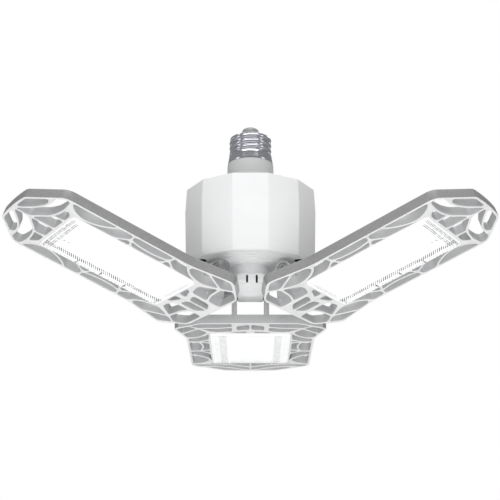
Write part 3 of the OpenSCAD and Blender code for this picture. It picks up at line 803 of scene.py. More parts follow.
@dataclass(frozen=True)
class Finish:
    """A surface finish.

    Attributes:
        name: the finish's name.
        colour: the base colour, linear.
        shade: the colour that it drifts to.
        drift: how far it drifts, and the size of the drift in cycles a metre.
        rough: the lowest and highest roughness.
        metallic: how metallic it is.
        grain: the size of the grain, in cycles a metre.
        relief: the grain's depth, in metres.
        edge: the lighter colour painted along the edges as a highlight.
        edge_amount: how strongly the edges show it.
        dust: how much dust lies on its upper faces.
    """

    name: str
    colour: Triple
    shade: Triple
    drift: Point = (0.3, 60.0)
    rough: Point = (0.4, 0.5)
    metallic: float = 0.0
    grain: float = 1500.0
    relief: float = 0.00002
    edge: Triple = (0.95, 0.95, 0.95)
    edge_amount: float = 0.3
    dust: float = 0.08

    def material(self) -> bpy.types.Material:
        """The finish's material, made on first use.

        Returns:
            The material.
        """
        label = f"{self.name}_look"
        made = bpy.data.materials.get(label)
        if made:
            return made
        made = bpy.data.materials.new(label)
        made.use_nodes = True
        wire = Wiring(made.node_tree)
        place = wire.add("TexCoord").outputs
        spot = place["Object"]
        grain = wire.group(Effect.GRAIN, Vector=spot, Scale=self.grain, Low=self.rough[0], High=self.rough[1])
        drift = wire.group(
            Effect.DRIFT, Vector=spot, Colour=(*self.colour, 1.0), Shade=(*self.shade, 1.0),
            Scale=self.drift[1], Amount=self.drift[0],
        )
        edge = wire.group(
            Effect.EDGE, Vector=spot, Colour=drift.outputs[0], Edge=(*self.edge, 1.0), Amount=self.edge_amount
        )
        dust = wire.group(
            Effect.DUST, Vector=spot, Normal=place["Normal"], Colour=edge.outputs[0], Amount=self.dust
        )
        bump = wire.add("Bump", {"Distance": self.relief, "Height": grain.outputs["Height"]})
        shader = next(n for n in wire.tree.nodes if n.type == "BSDF_PRINCIPLED")
        for name, value in (
            ("Normal", bump.outputs["Normal"]),
            ("Base Color", dust.outputs["Colour"]),
            ("Roughness", grain.outputs["Roughness"]),
            ("Metallic", self.metallic),
        ):
            wire.feed(shader.inputs[name], value)
        self.extra(wire, shader)
        return made

    def extra(self, wire: Wiring, shader: bpy.types.Node) -> None:
        """What a special finish adds to its material."""


@dataclass(frozen=True)
class LitLens(Finish):
    """The lens's finish: frosted plastic lit from behind, with a dotted border.

    Attributes:
        glow: the light's strength.
        dot: the colour that a dot lets through.
        both: 1 where both long edges show their marks, 0 where one does.
    """

    glow: float = 0.3
    dot: Triple = (0.06, 0.062, 0.07)
    both: float = 0.0

    def extra(self, wire: Wiring, shader: bpy.types.Node) -> None:
        """Adds the dotted border and the light.

        Args:
            wire: the material's wiring.
            shader: its shader node.
        """
        flat = wire.add("UVMap", uv_map="flat").outputs[0]
        mask = wire.group(Effect.STIPPLE, Both=self.both, Vector=flat).outputs["Mask"]
        surface = shader.inputs["Base Color"].links[0].from_socket
        for name, colour in (("Base Color", surface), ("Emission Color", WHITE)):
            wire.feed(shader.inputs[name], wire.blended(mask, colour, (*self.dot, 1.0)))
        shader.inputs["Emission Strength"].default_value = self.glow


HOUSING_WHITE = Finish(
    "housing_white", grey(0.86, 0.005), grey(0.82, 0.005), drift=(0.35, 60.0), rough=(0.38, 0.5)
)
CAP_WHITE = Finish(
    "cap_stippled", grey(0.8, 0.005), grey(0.7, 0.005), drift=(0.5, 900.0), rough=(0.45, 0.6),
    grain=900.0, relief=0.00012,
)
HUB_WHITE = Finish(
    "hub_white", grey(0.84, 0.005), grey(0.78, 0.005), rough=(0.42, 0.52), grain=1100.0, relief=0.00003
)
COLLAR_GREY = Finish(
    "collar_grey", (0.57, 0.58, 0.575), (0.51, 0.52, 0.515), rough=(0.45, 0.58), grain=1900.0, edge=grey(0.8)
)
SHELL_METAL = Finish(
    "shell_metal", (0.68, 0.69, 0.74), (0.56, 0.57, 0.63), drift=(0.5, 120.0), rough=(0.1, 0.2),
    metallic=1.0, grain=2600.0, relief=0.000008, edge=(0.7, 0.71, 0.73), edge_amount=0.35, dust=0.0,
)
CONTACT_METAL = Finish(
    "contact_metal", (0.35, 0.35, 0.355), (0.31, 0.31, 0.315), drift=(0.5, 200.0), rough=(0.4, 0.55),
    metallic=0.3, grain=2600.0, relief=0.00001, edge=grey(0.7), dust=0.0,
)
INSULATOR_GREY = Finish(
    "insulator_grey", (0.36, 0.36, 0.365), (0.3, 0.3, 0.305), rough=(0.3, 0.45), edge=grey(0.5), dust=0.0
)
# Painted shade: a darker copy of the frame paint for the outline's walls, the back and the carrier.
SHADED_FRAME_GREY = Finish(
    "shaded_frame_grey", (0.27, 0.275, 0.27), (0.235, 0.24, 0.235), drift=(0.4, 45.0), rough=(0.42, 0.58),
    metallic=0.15, grain=1300.0, relief=0.00004, edge=grey(0.75),
)
# Painted shade: a lighter shaded copy of the frame paint for the cell walls and the clevis arms.
SHADED_RIB_WALL = Finish(
    "shaded_rib_wall", grey(0.52, 0.005), grey(0.44, 0.005), drift=(0.5, 90.0), rough=(0.42, 0.58),
    metallic=0.1, grain=1300.0, relief=0.00004, edge=grey(0.85),
)
# Painted light: a lit, near-white copy of the frame paint for the faces on the light side.
LIT_RIB_FACE = Finish("lit_rib_face", (0.8, 0.8, 0.805), (0.74, 0.74, 0.745), rough=(0.38, 0.5), grain=1300.0)
LENS = LitLens(
    "lens_frosted", grey(0.8, 0.005), grey(0.77, 0.005), rough=(0.25, 0.4), grain=900.0, relief=0.00001,
    edge=grey(0.98), dust=0.0,
)
REAR_LENS = replace(LENS, name="lens_frosted_rear", dot=grey(0.45, 0.005), both=1.0)
BOLT_STEEL = Finish(
    "bolt_steel", (0.26, 0.262, 0.265), (0.2, 0.202, 0.205), drift=(0.5, 300.0), rough=(0.45, 0.6),
    metallic=0.4, grain=2600.0, relief=0.00001, edge=(0.75, 0.75, 0.76), edge_amount=0.6, dust=0.0,
)
ZINC = Finish(
    "zinc_plate", (0.6, 0.6, 0.61), (0.5, 0.5, 0.52), drift=(0.5, 300.0), rough=(0.3, 0.42),
    metallic=0.9, grain=2400.0, relief=0.00001, dust=0.0,
)
DARK_STEEL = Finish(
    "dark_steel", grey(0.02), grey(0.015), rough=(0.4, 0.6), metallic=0.3, edge=grey(0.1), dust=0.0
)
WASHER_FIBRE = Finish(
    "washer_fibre", (0.13, 0.13, 0.135), (0.08, 0.08, 0.085), drift=(0.6, 500.0), rough=(0.6, 0.8),
    edge=grey(0.25),
)
# Painted shade: near-black for the inside of recesses, slots and the bolt socket; the cuts carry it onto their
# walls.
PAINTED_SHADE_HOLLOW = Finish("painted_shade_hollow", grey(0.01), grey(0.006), rough=(0.7, 0.9), edge_amount=0.0, dust=0.0)
BOARD_WHITE = Finish("board_white", (0.82, 0.82, 0.8), (0.76, 0.76, 0.74), rough=(0.35, 0.5))
PHOSPHOR = Finish(
    "lamp_phosphor", (0.85, 0.76, 0.38), (0.8, 0.68, 0.3), rough=(0.35, 0.5), edge=(0.9, 0.88, 0.75)
)
SOFT_GASKET = Finish(
    "gasket_foam", (0.27, 0.27, 0.28), (0.2, 0.2, 0.21), rough=(0.7, 0.9), grain=2200.0, relief=0.00006,
    edge=grey(0.35),
)
IVORY_PLASTIC = Finish("ivory_plastic", (0.76, 0.73, 0.65), (0.7, 0.67, 0.58), rough=(0.3, 0.45))
GREEN_BOARD = Finish(
    "green_board", (0.02, 0.09, 0.035), (0.03, 0.12, 0.05), drift=(0.8, 400.0), rough=(0.25, 0.4),
    edge=(0.5, 0.45, 0.3),
)
YELLOW_TAPE = Finish(
    "yellow_tape", (0.7, 0.45, 0.04), (0.6, 0.36, 0.03), drift=(0.7, 150.0), rough=(0.3, 0.5),
    edge=(0.8, 0.6, 0.2),
)
BLACK_SLEEVE = Finish(
    "black_sleeve", (0.02, 0.02, 0.022), (0.03, 0.03, 0.032), rough=(0.25, 0.4), edge=grey(0.12)
)
BLUE_SLEEVE = Finish(
    "blue_sleeve", (0.02, 0.04, 0.16), (0.015, 0.03, 0.11), rough=(0.2, 0.35), edge=(0.1, 0.15, 0.35)
)
COPPER_WIRE = Finish(
    "copper_wire", (0.55, 0.2, 0.06), (0.4, 0.13, 0.04), drift=(0.8, 900.0), rough=(0.25, 0.4),
    metallic=0.7, grain=3000.0, relief=0.00008, edge=(0.8, 0.4, 0.2), dust=0.0,
)
TAN_CERAMIC = Finish(
    "tan_ceramic", (0.55, 0.4, 0.22), (0.5, 0.35, 0.18), rough=(0.45, 0.6), edge=(0.7, 0.58, 0.4)
)
FLOOR_PALE = Finish(
    "floor_pale", grey(0.9), grey(0.88), drift=(0.2, 1.0), rough=(0.8, 0.9), relief=0.0,
    edge_amount=0.0, dust=0.0,
)

CAD_FINISHES: dict[str, Finish] = {
    "cover_screws": DARK_STEEL,
    "hub_screws": ZINC,
    "driver_board": GREEN_BOARD,
    "transformer": YELLOW_TAPE,
    "input_capacitor": BLACK_SLEEVE,
    "output_capacitor": BLUE_SLEEVE,
    "bridge_rectifier": BLACK_SLEEVE,
    "line_choke": COPPER_WIRE,
    "fuse_resistor": TAN_CERAMIC,
    "line_lead": BLACK_SLEEVE,
    "neutral_lead": IVORY_PLASTIC,
    "board": BOARD_WHITE,
    "leds": PHOSPHOR,
    "board_screws": ZINC,
    "connector": IVORY_PLASTIC,
    "gasket": SOFT_GASKET,
}


def dress_cad_nodes() -> None:
    """Gives each CAD node that stays in view its finish."""
    for name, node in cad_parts.items():
        side = next((s.label for s in Side if name.startswith(f"{s.label}_")), "")
        finish = CAD_FINISHES.get(name.removeprefix(f"{side}_"))
        if finish is None or node.hide_render:
            continue
        if not node.material_slots:
            node.data.materials.append(finish.material())
        for holder in node.material_slots:
            holder.material = finish.material()
        LOG.info("%s: dressed as %s", name, finish.name)


# Head


@dataclass
class ScrewBase:
    """The lamp base: threaded shell, insulating ring, centre contact and the collar below."""

    skirt_r: float = 13.2
    skirt_h: float = 6.6
    flare: float = 0.95
    flare_bend: float = 1.1
    run_in: float = 0.7
    run_in_fade: float = 1.4
    run_out: float = 0.5
    run_out_fade: float = 1.6
    shoulder_h: float = 0.9
    root_r: float = 12.2
    crest_r: float = 13.1
    crest_bend: float = 0.8
    pitch: float = 3.63
    turns: int = 3
    crown_h: float = 2.9
    crown_bend: float = 0.92
    wall: float = 0.5
    insulator_r: float = 6.3
    insulator_h: float = 1.2
    contact_r: float = 5.4
    contact_h: float = 3.9
    flange_h: float = 0.8
    collar_h: float = 19.7
    around: int = 96
    rows: int = 14

    @property
    def thread_top(self) -> float:
        """The height at which the thread ends."""
        return self.skirt_h + self.turns * self.pitch

    @property
    def crown_top(self) -> float:
        """The height of the crown's opening."""
        return self.thread_top + self.crown_h

    def shell_radius(self, z: float, turn: float) -> float:
        """The shell's radius at a height and a direction, with the thread as a true helix.

        Args:
            z: the height.
            turn: the direction, in radians.

        Returns:
            The radius.
        """
        mean, depth = (self.root_r + self.crest_r) / 2, (self.crest_r - self.root_r) / 2
        foot = self.skirt_h - self.run_in
        if z <= foot:
            return self.skirt_r + self.flare * (1 - z / foot) ** self.flare_bend
        left = max(0.0, self.thread_top + self.run_out - z)
        fade = min(1.0, (z - foot) / self.run_in_fade) * min(1.0, left / self.run_out_fade)
        wave = -math.cos(math.tau * ((z - self.skirt_h) / self.pitch - (turn / math.tau - 0.75)))
        body = mean + (self.skirt_r - mean) * max(0.0, 1 - (z - foot) / self.shoulder_h)
        if z > self.thread_top:
            share = 1 - (z - self.thread_top) / self.crown_h
            body = self.insulator_r + (mean - self.insulator_r) * max(0.0, share) ** self.crown_bend
        return body + depth * math.copysign(abs(wave) ** self.crest_bend, wave) * fade

    def heights(self) -> list[float]:
        """The shell's rows from its lower edge to the crown's opening.

        Returns:
            Their heights.
        """
        start, count = self.skirt_h - self.run_in / 2, self.turns * self.rows
        skirt = [0.0, 0.25, 1.2, 2.4, 3.6, 4.8, self.skirt_h - self.run_in]
        thread = [start + (self.thread_top - start) * i / count for i in range(count + 1)]
        return skirt + thread + [self.thread_top + self.crown_h * i / 12 for i in range(1, 13)]

    def shell(self) -> None:
        """The rolled shell, with its thread, plain skirt and tapered crown."""
        turns = [math.tau * i / self.around for i in range(self.around)]
        rings = []
        for z in self.heights():
            trim = 0.25 if z == 0.0 else 0.0
            radii = [self.shell_radius(z, t) - trim for t in turns]
            spots = zip(radii, turns, strict=True)
            rings.append([Vector((r * math.cos(t), r * math.sin(t), z)) for r, t in spots])
        piece = Workpiece.stacked("base_shell", rings, closed=False)
        piece.modified("SOLIDIFY", thickness=self.wall, offset=-1.0)
        piece.dressed(SHELL_METAL).set_down("head", "shell_metal", "screw_shell", smooth=60.0)

    def contact(self) -> None:
        """The domed centre contact with its flange and the solder's low mound."""
        foot = self.crown_top + self.insulator_h
        top, rim, dome_h = foot + self.contact_h, self.contact_r, self.contact_h - self.flange_h
        dome = [(rim * x, foot + self.flange_h + dome_h * y) for x, y in arc(1.0, range(12, 84, 8))]
        section = [(0.0, foot), (rim - 0.2, foot), (rim, foot + 0.2), (rim, foot + 0.75), *dome]
        section += [(1.6, top - 0.12), (1.2, top - 0.02), (0.0, top)]
        piece = Workpiece.spun("base_contact", section, closed=False, steps=64)
        piece.dressed(CONTACT_METAL).set_down("head", "contact_metal", "contact_tip", smooth=35.0)

    def insulator(self) -> None:
        """The insulating ring, with a stepped rim."""
        low, top, rim = self.crown_top, self.crown_top + self.insulator_h, self.insulator_r
        section = [(2.0, low - 1.5), (rim - 0.7, low - 1.5), (rim - 0.7, low), (rim, low)]
        section += [(rim, top - 0.5), (rim - 0.5, top - 0.1), (2.0, top - 0.1)]
        piece = Workpiece.spun("base_insulating_ring", rounded(section, 0.2, 3), steps=64)
        piece.dressed(INSULATOR_GREY).set_down("head", "insulator", "base_insulator", smooth=35.0)

    def collar(self) -> None:
        """The moulded collar, with a lip at its top and a soft flare at its foot."""
        foot = -self.collar_h
        section = [(9.5, 4.6), (11.3, 4.6), (11.5, 0.4), (12.4, 0.4), (12.9, 0.0), (14.1, -0.1), (14.3, -0.5)]
        section += [(14.45, -8.6), (14.85, -10.2), (15.0, foot + 1.4), (15.2, foot + 0.2), (15.0, foot - 0.2)]
        section += [(14.4, foot - 2.2), (17.8, foot - 2.2), (17.8, foot - 4.2), (9.5, foot - 4.2)]
        piece = Workpiece.spun("base_collar_moulding", rounded(section, 0.35, 3))
        piece.dressed(COLLAR_GREY).set_down("head", "collar_plastic", "base_collar", smooth=35.0)

    def build(self) -> None:
        """Makes the base's pieces."""
        for make in (self.shell, self.contact, self.insulator, self.collar):
            make()


@dataclass
class Housing:
    """The twelve-sided cover and the round plate that closes it."""

    sides: int = 12
    top: float = -19.7
    bottom: float = -67.4
    widest: float = -34.3
    rim_r: float = 40.2
    bulge: float = 0.8
    corner_r: float = 3.2
    bevel_h: float = 2.2
    bevel_run: float = 1.6
    wall: float = 2.2
    opening_r: float = 36.63
    collar_r: float = 15.2
    base_r: float = 36.33
    base_bottom: float = -67.2
    base_t: float = 2.4
    base_bore: float = 6.0
    ring_step: float = 0.3
    ring_radii: tuple[float, ...] = (31.97, 27.25, 21.43)
    neck_groove_r: float = 18.0
    screw_circle: float = 33.03
    recess_r: Point = (2.9, 2.3)
    recess_z: Triple = (-69.0, -66.9, -65.6)

    def ring(self, corner: float, z: float, corner_r: float) -> list[Vector]:
        """A ring of the cover with this radius at its corners, at a height, with corners rounded."""
        return faceted(self.sides, corner * math.cos(math.pi / self.sides), corner_r, z, first=15.0)

    def cover(self) -> None:
        """The cover: softly rounded corners and rims, a faint line at its widest, and a wall all round."""
        low, high, widest, bulge = self.bottom, self.top, self.widest, self.bulge
        bevel_h, bevel_run = self.bevel_h, self.bevel_run
        profile = [(-bevel_run - 0.15, low), (-bevel_run + 0.15, low + 0.12), (-0.15, low + bevel_h - 0.25)]
        profile += [(0.0, low + bevel_h + 0.1), (bulge - 0.01, widest - 0.5), (bulge, widest)]
        profile += [(bulge - 0.05, widest + 0.5), (0.03, high - 0.95), (-0.12, high - 0.4)]
        profile += [(-0.5, high - 0.08), (-1.0, high)]
        rings = [
            self.ring(self.opening_r + 1.4, low, 34.0),
            *(self.ring(self.rim_r + grown, z, self.corner_r) for grown, z in profile),
            self.ring(self.collar_r + 0.5, high, 15.0),
        ]
        piece = Workpiece.stacked("housing_shell", rings, closed=False)
        piece.modified("SOLIDIFY", thickness=self.wall, offset=-1.0, use_even_offset=True)
        piece.modified("WEIGHTED_NORMAL", keep_sharp=True, weight=80)
        piece.dressed(HOUSING_WHITE).set_down("head", "white_housing", "housing_cover", smooth=50.0)

    def base(self) -> None:
        """The base plate: three soft steps, a groove, and a recess at each cover screw, painted dark inside as
        shade.
        """
        z, top, rim, bore = self.base_bottom, self.base_bottom + self.base_t, self.base_r, self.base_bore
        section: list[Point] = [(bore, top), (rim, top), (rim, z + 0.4), (rim - 0.4, z)]
        for radius in self.ring_radii:
            section += [(radius + 0.75, z), (radius + 0.45, z + 0.3), (radius + 0.15, z + 0.3)]
            z -= self.ring_step
            section.append((radius - 0.1, z))
        groove = self.neck_groove_r
        section += [(groove + 0.4, z), (groove + 0.15, z + 0.25), (groove - 0.15, z + 0.25), (groove - 0.4, z)]
        section.append((bore, z))
        piece = Workpiece.spun("housing_base_plate", rounded(section, 0.12, 2), steps=128).dressed(HOUSING_WHITE)
        (mouth, floor), (low, mid, high) = self.recess_r, self.recess_z
        recess = [(0.0, low), (mouth, low), (floor, mid), (floor, high), (0.0, high)]
        for side in Side:
            cutter = Workpiece.spun("recess", rounded(recess, 0.1, 2, closed=False), closed=False, steps=32)
            out = side.facing @ Matrix.Translation(Vector((self.screw_circle, 0.0, 0.0)))
            piece.cut_by(cutter.dressed(PAINTED_SHADE_HOLLOW).moved(out))
        piece.set_down("head", "white_housing", "housing_base")

    def build(self) -> None:
        """Makes the housing's pieces."""
        self.cover()
        self.base()


@dataclass
class Hub:
    """The neck, six-sided hub and hinge tongues, and the domed cap below."""

    underside: float = -68.1
    top: float = -74.1
    bottom: float = -79.7
    sides: int = 6
    neck_r: float = 13.2
    apothem: float = 13.856
    corner_r: float = 2.2
    tongue_w: float = 15.8
    knuckle_r: float = 5.2
    bore_r: float = 2.06
    web_x: float = 23.4
    web_top: float = -76.0
    slot_w: float = 1.2
    slot_pitch: float = 5.8
    slot_shift: float = 0.9
    slots: Point = (-80.4, -75.5)
    band: Point = (-79.4, -77.1)
    slot_reach: Point = (-5.0, 3.0)
    band_w: float = 14.0
    band_t: float = 0.4
    cap_r: float = 12.6
    cap_h: float = 4.9
    cap_rim: float = 0.6
    plug_r: float = 5.9
    plug_h: float = 3.0
    face_turns: tuple[float, ...] = (30.0, 150.0, 270.0)

    def core(self) -> Workpiece:
        """The neck and the six-sided hub.

        Returns:
            The piece.
        """
        neck, wide, corner, top, low = self.neck_r, self.apothem, self.corner_r, self.top, self.bottom
        rows = [(neck + 0.9, neck + 0.7, self.underside + 0.1), (neck + 0.35, neck + 0.15, self.underside - 0.3)]
        rows += [(neck, neck - 0.2, self.underside - 1.0), (neck, neck - 0.2, top + 1.2)]
        rows += [(neck + 0.25, neck - 3.0, top + 0.4), (wide - 0.1, neck - 7.0, top - 0.2)]
        rows += [(wide, corner, top - 0.8), (wide, corner, low + 1.0)]
        rows += [(wide - 0.25, corner + 0.4, low + 0.35), (wide - 0.9, corner + 1.0, low)]
        return Workpiece.stacked("hub_casting", [faceted(self.sides, *row) for row in rows])

    def tongue(self) -> Workpiece:
        """A hinge tongue: the barrel on the hinge axis and the web that carries it.

        Returns:
            The piece.
        """
        foot = self.apothem - 1.5
        outline = arc(self.knuckle_r, range(-90, 190, 10), HINGE)
        outline += [(self.web_x, self.web_top), (foot, self.web_top), (foot, self.bottom + 0.4)]
        half = self.tongue_w / 2
        levels = [(-half, 0.35, 0.3), (-half + 0.12, 0.1, 0.08), (-half + 0.4, 0.0, 0.0)]
        levels += [(-height, draw_in, widen) for height, draw_in, widen in reversed(levels)]
        return Workpiece.plate("tongue", [outline, circle(self.bore_r, 32, HINGE)], levels, Facing.SIDEWAYS)

    def face_band(self) -> Workpiece:
        """The raised band on a hub face, with soft edges.

        Returns:
            The piece.
        """
        half, inner, outer = self.band_w / 2, self.apothem - 1.0, self.apothem + self.band_t
        levels = [(inner, 0.25, 0.0), (inner + 0.2, 0.0, 0.0), (outer - 0.3, 0.0, 0.0)]
        levels += [(outer - 0.08, 0.1, 0.0), (outer, 0.3, 0.0)]
        return Workpiece.plate("slab", [rounded(box((-half, half), self.band), 0.7)], levels, Facing.OUTWARD)

    def slot_cutters(self, turn: Matrix) -> Workpiece:
        """The cutter for one face's two slots, round at the top and open at the bottom; its near-black finish
        passes to the slot walls as painted shade.

        Args:
            turn: the turn to the face.

        Returns:
            The cutter.
        """
        made = []
        inner, outer = (self.apothem + reach for reach in self.slot_reach)
        for side in (-0.5, 0.5):
            middle, half = self.slot_shift + side * self.slot_pitch, self.slot_w / 2
            outline = rounded(box((middle - half, middle + half), self.slots), 0.5, 3)
            made.append(Workpiece.block("slot", outline, inner, outer, Facing.OUTWARD))
        return made[0].joined(made[1]).dressed(PAINTED_SHADE_HOLLOW).moved(turn)

    def casting(self) -> None:
        """The hub's casting."""
        core = self.core().dressed(HUB_WHITE)
        extras = []
        for degrees in self.face_turns:
            turn = turned(degrees)
            core.cut_by(self.slot_cutters(turn))
            extras.append(self.face_band().moved(turn).dressed(HUB_WHITE).cut_by(self.slot_cutters(turn)))
        extras += [self.tongue().moved(side.facing).dressed(HUB_WHITE) for side in Side]
        core.joined(*extras).set_down("head", "hub_paint", "hub_body")

    def cap(self) -> None:
        """The domed cap under the wire passage, with a soft rim and its plug."""
        seat, rim, rise = self.bottom, self.cap_r, self.cap_h - self.cap_rim
        ball = (rim**2 + rise**2) / (2 * rise)
        centre = seat - self.cap_h + ball
        section = [(r, centre - math.sqrt(ball**2 - r**2)) for r in (rim * i / 14 for i in range(14))]
        section += [(rim - 0.12, seat - 0.5), (rim, seat - 0.35), (rim, seat - 0.02), (self.plug_r, seat - 0.02)]
        section += [(self.plug_r, seat + self.plug_h), (0.0, seat + self.plug_h)]
        piece = Workpiece.spun("hub_cap_dome", section, closed=False)
        piece.dressed(CAP_WHITE).set_down("head", "white_housing", "hub_cap")

    def build(self) -> None:
        """Makes the hub's pieces."""
        self.casting()
        self.cap()


# Panels

# Ribs between neighbouring cells, each drawn once in shares of the web.
HOOP = ((0.28, 0.53), (0.35, 0.38), (0.43, 0.33), (0.51, 0.38), (0.59, 0.53))
SIDE_BOW = ((0.88, 0.14), (0.81, 0.37), (0.75, 0.7))
TIP_BOW = ((0.53, 0.65), (0.56, 0.52), (0.62, 0.41), (0.7, 0.3), (0.79, 0.2), (0.915, 0.085))
CORNER_BOW = ((0.203, 0.7), (0.23, 0.494), (0.267, 0.396))
MIDDLE_BOW = ((0.326, 0.284), (0.478, 0.136))


@dataclass
class Hinge:
    """A panel's bolt, nut and friction washers, in the panel's own frame."""

    seat: float = 10.5
    shank_r: float = 2.0
    head_r: float = 3.3
    head_h: float = 1.4
    socket_r: float = 1.6
    nut_r: float = 3.8
    nut_l: float = 9.2
    washer_r: float = 4.3
    washer_bore: float = 2.06
    washer_t: float = 0.5
    tongue_half: float = 7.9
    lay: Matrix = field(default_factory=lambda: Matrix.Rotation(math.radians(-90), 4, "X"))

    def bolt(self) -> Workpiece:
        """The bolt: a low head with a soft rim and a hexagon socket painted dark inside as shade, on a plain
        shank.

        Returns:
            The piece.
        """
        start, end, head, shank = -self.seat, self.seat + self.nut_l / 2, self.head_r, self.shank_r
        face = start - self.head_h
        section = [(0.0, face), (head - 0.45, face), (head - 0.12, face + 0.12), (head, face + 0.45)]
        section += [(head, start), (shank, start), (shank, end - 0.4), (shank - 0.4, end), (0.0, end)]
        piece = Workpiece.spun("hinge_bolt", section, closed=False, steps=48).dressed(BOLT_STEEL)
        socket = Workpiece.block("socket", circle(self.socket_r, 6), face - 1.0, face + 1.0)
        return piece.cut_by(socket.dressed(PAINTED_SHADE_HOLLOW)).moved(self.lay)

    def nut(self) -> Workpiece:
        """The closed nut: a knurl groove, a domed end and a hollow that takes the bolt.

        Returns:
            The piece.
        """
        low, high, bore, rim = self.seat, self.seat + self.nut_l, self.shank_r, self.nut_r
        hollow = low + self.nut_l / 2
        section = [(0.0, hollow), (bore, hollow), (bore, low), (rim - 0.25, low), (rim, low + 0.25)]
        section += [(rim, high - 2.6), (rim - 0.3, high - 2.3), (rim - 0.3, high - 2.0), (rim, high - 1.7)]
        section += [(rim, high - 0.9), (rim - 0.25, high - 0.35), (rim - 0.8, high - 0.06), (1.4, high)]
        section += [(1.1, high - 0.25), (0.0, high - 0.25)]
        piece = Workpiece.spun("hinge_nut", section[::-1], closed=False, steps=48)
        return piece.dressed(BOLT_STEEL).moved(self.lay)

    def washers(self) -> Workpiece:
        """The two friction washers.

        Returns:
            The piece.
        """
        low = self.tongue_half + 0.05
        section = rounded(box((self.washer_bore, self.washer_r), (low, low + self.washer_t)), 0.12, 2)
        first = Workpiece.spun("washers", section, steps=48)
        return first.joined(first.mirrored((0.0, 0.0, 1.0))).dressed(WASHER_FIBRE).moved(self.lay)

    def build(self, side: Side) -> None:
        """Makes one panel's hinge pieces.

        Args:
            side: the panel.
        """
        for piece, node, slot in (
            (self.bolt(), "hinge_bolt", "zinc_steel"),
            (self.nut(), "hinge_nut", "zinc_steel"),
            (self.washers(), "washers", "washer_fibre"),
        ):
            piece.item.name = f"{side.label}_{node}_turned"
            piece.set_down(side.body, slot, f"{side.label}_{node}", side.placed)


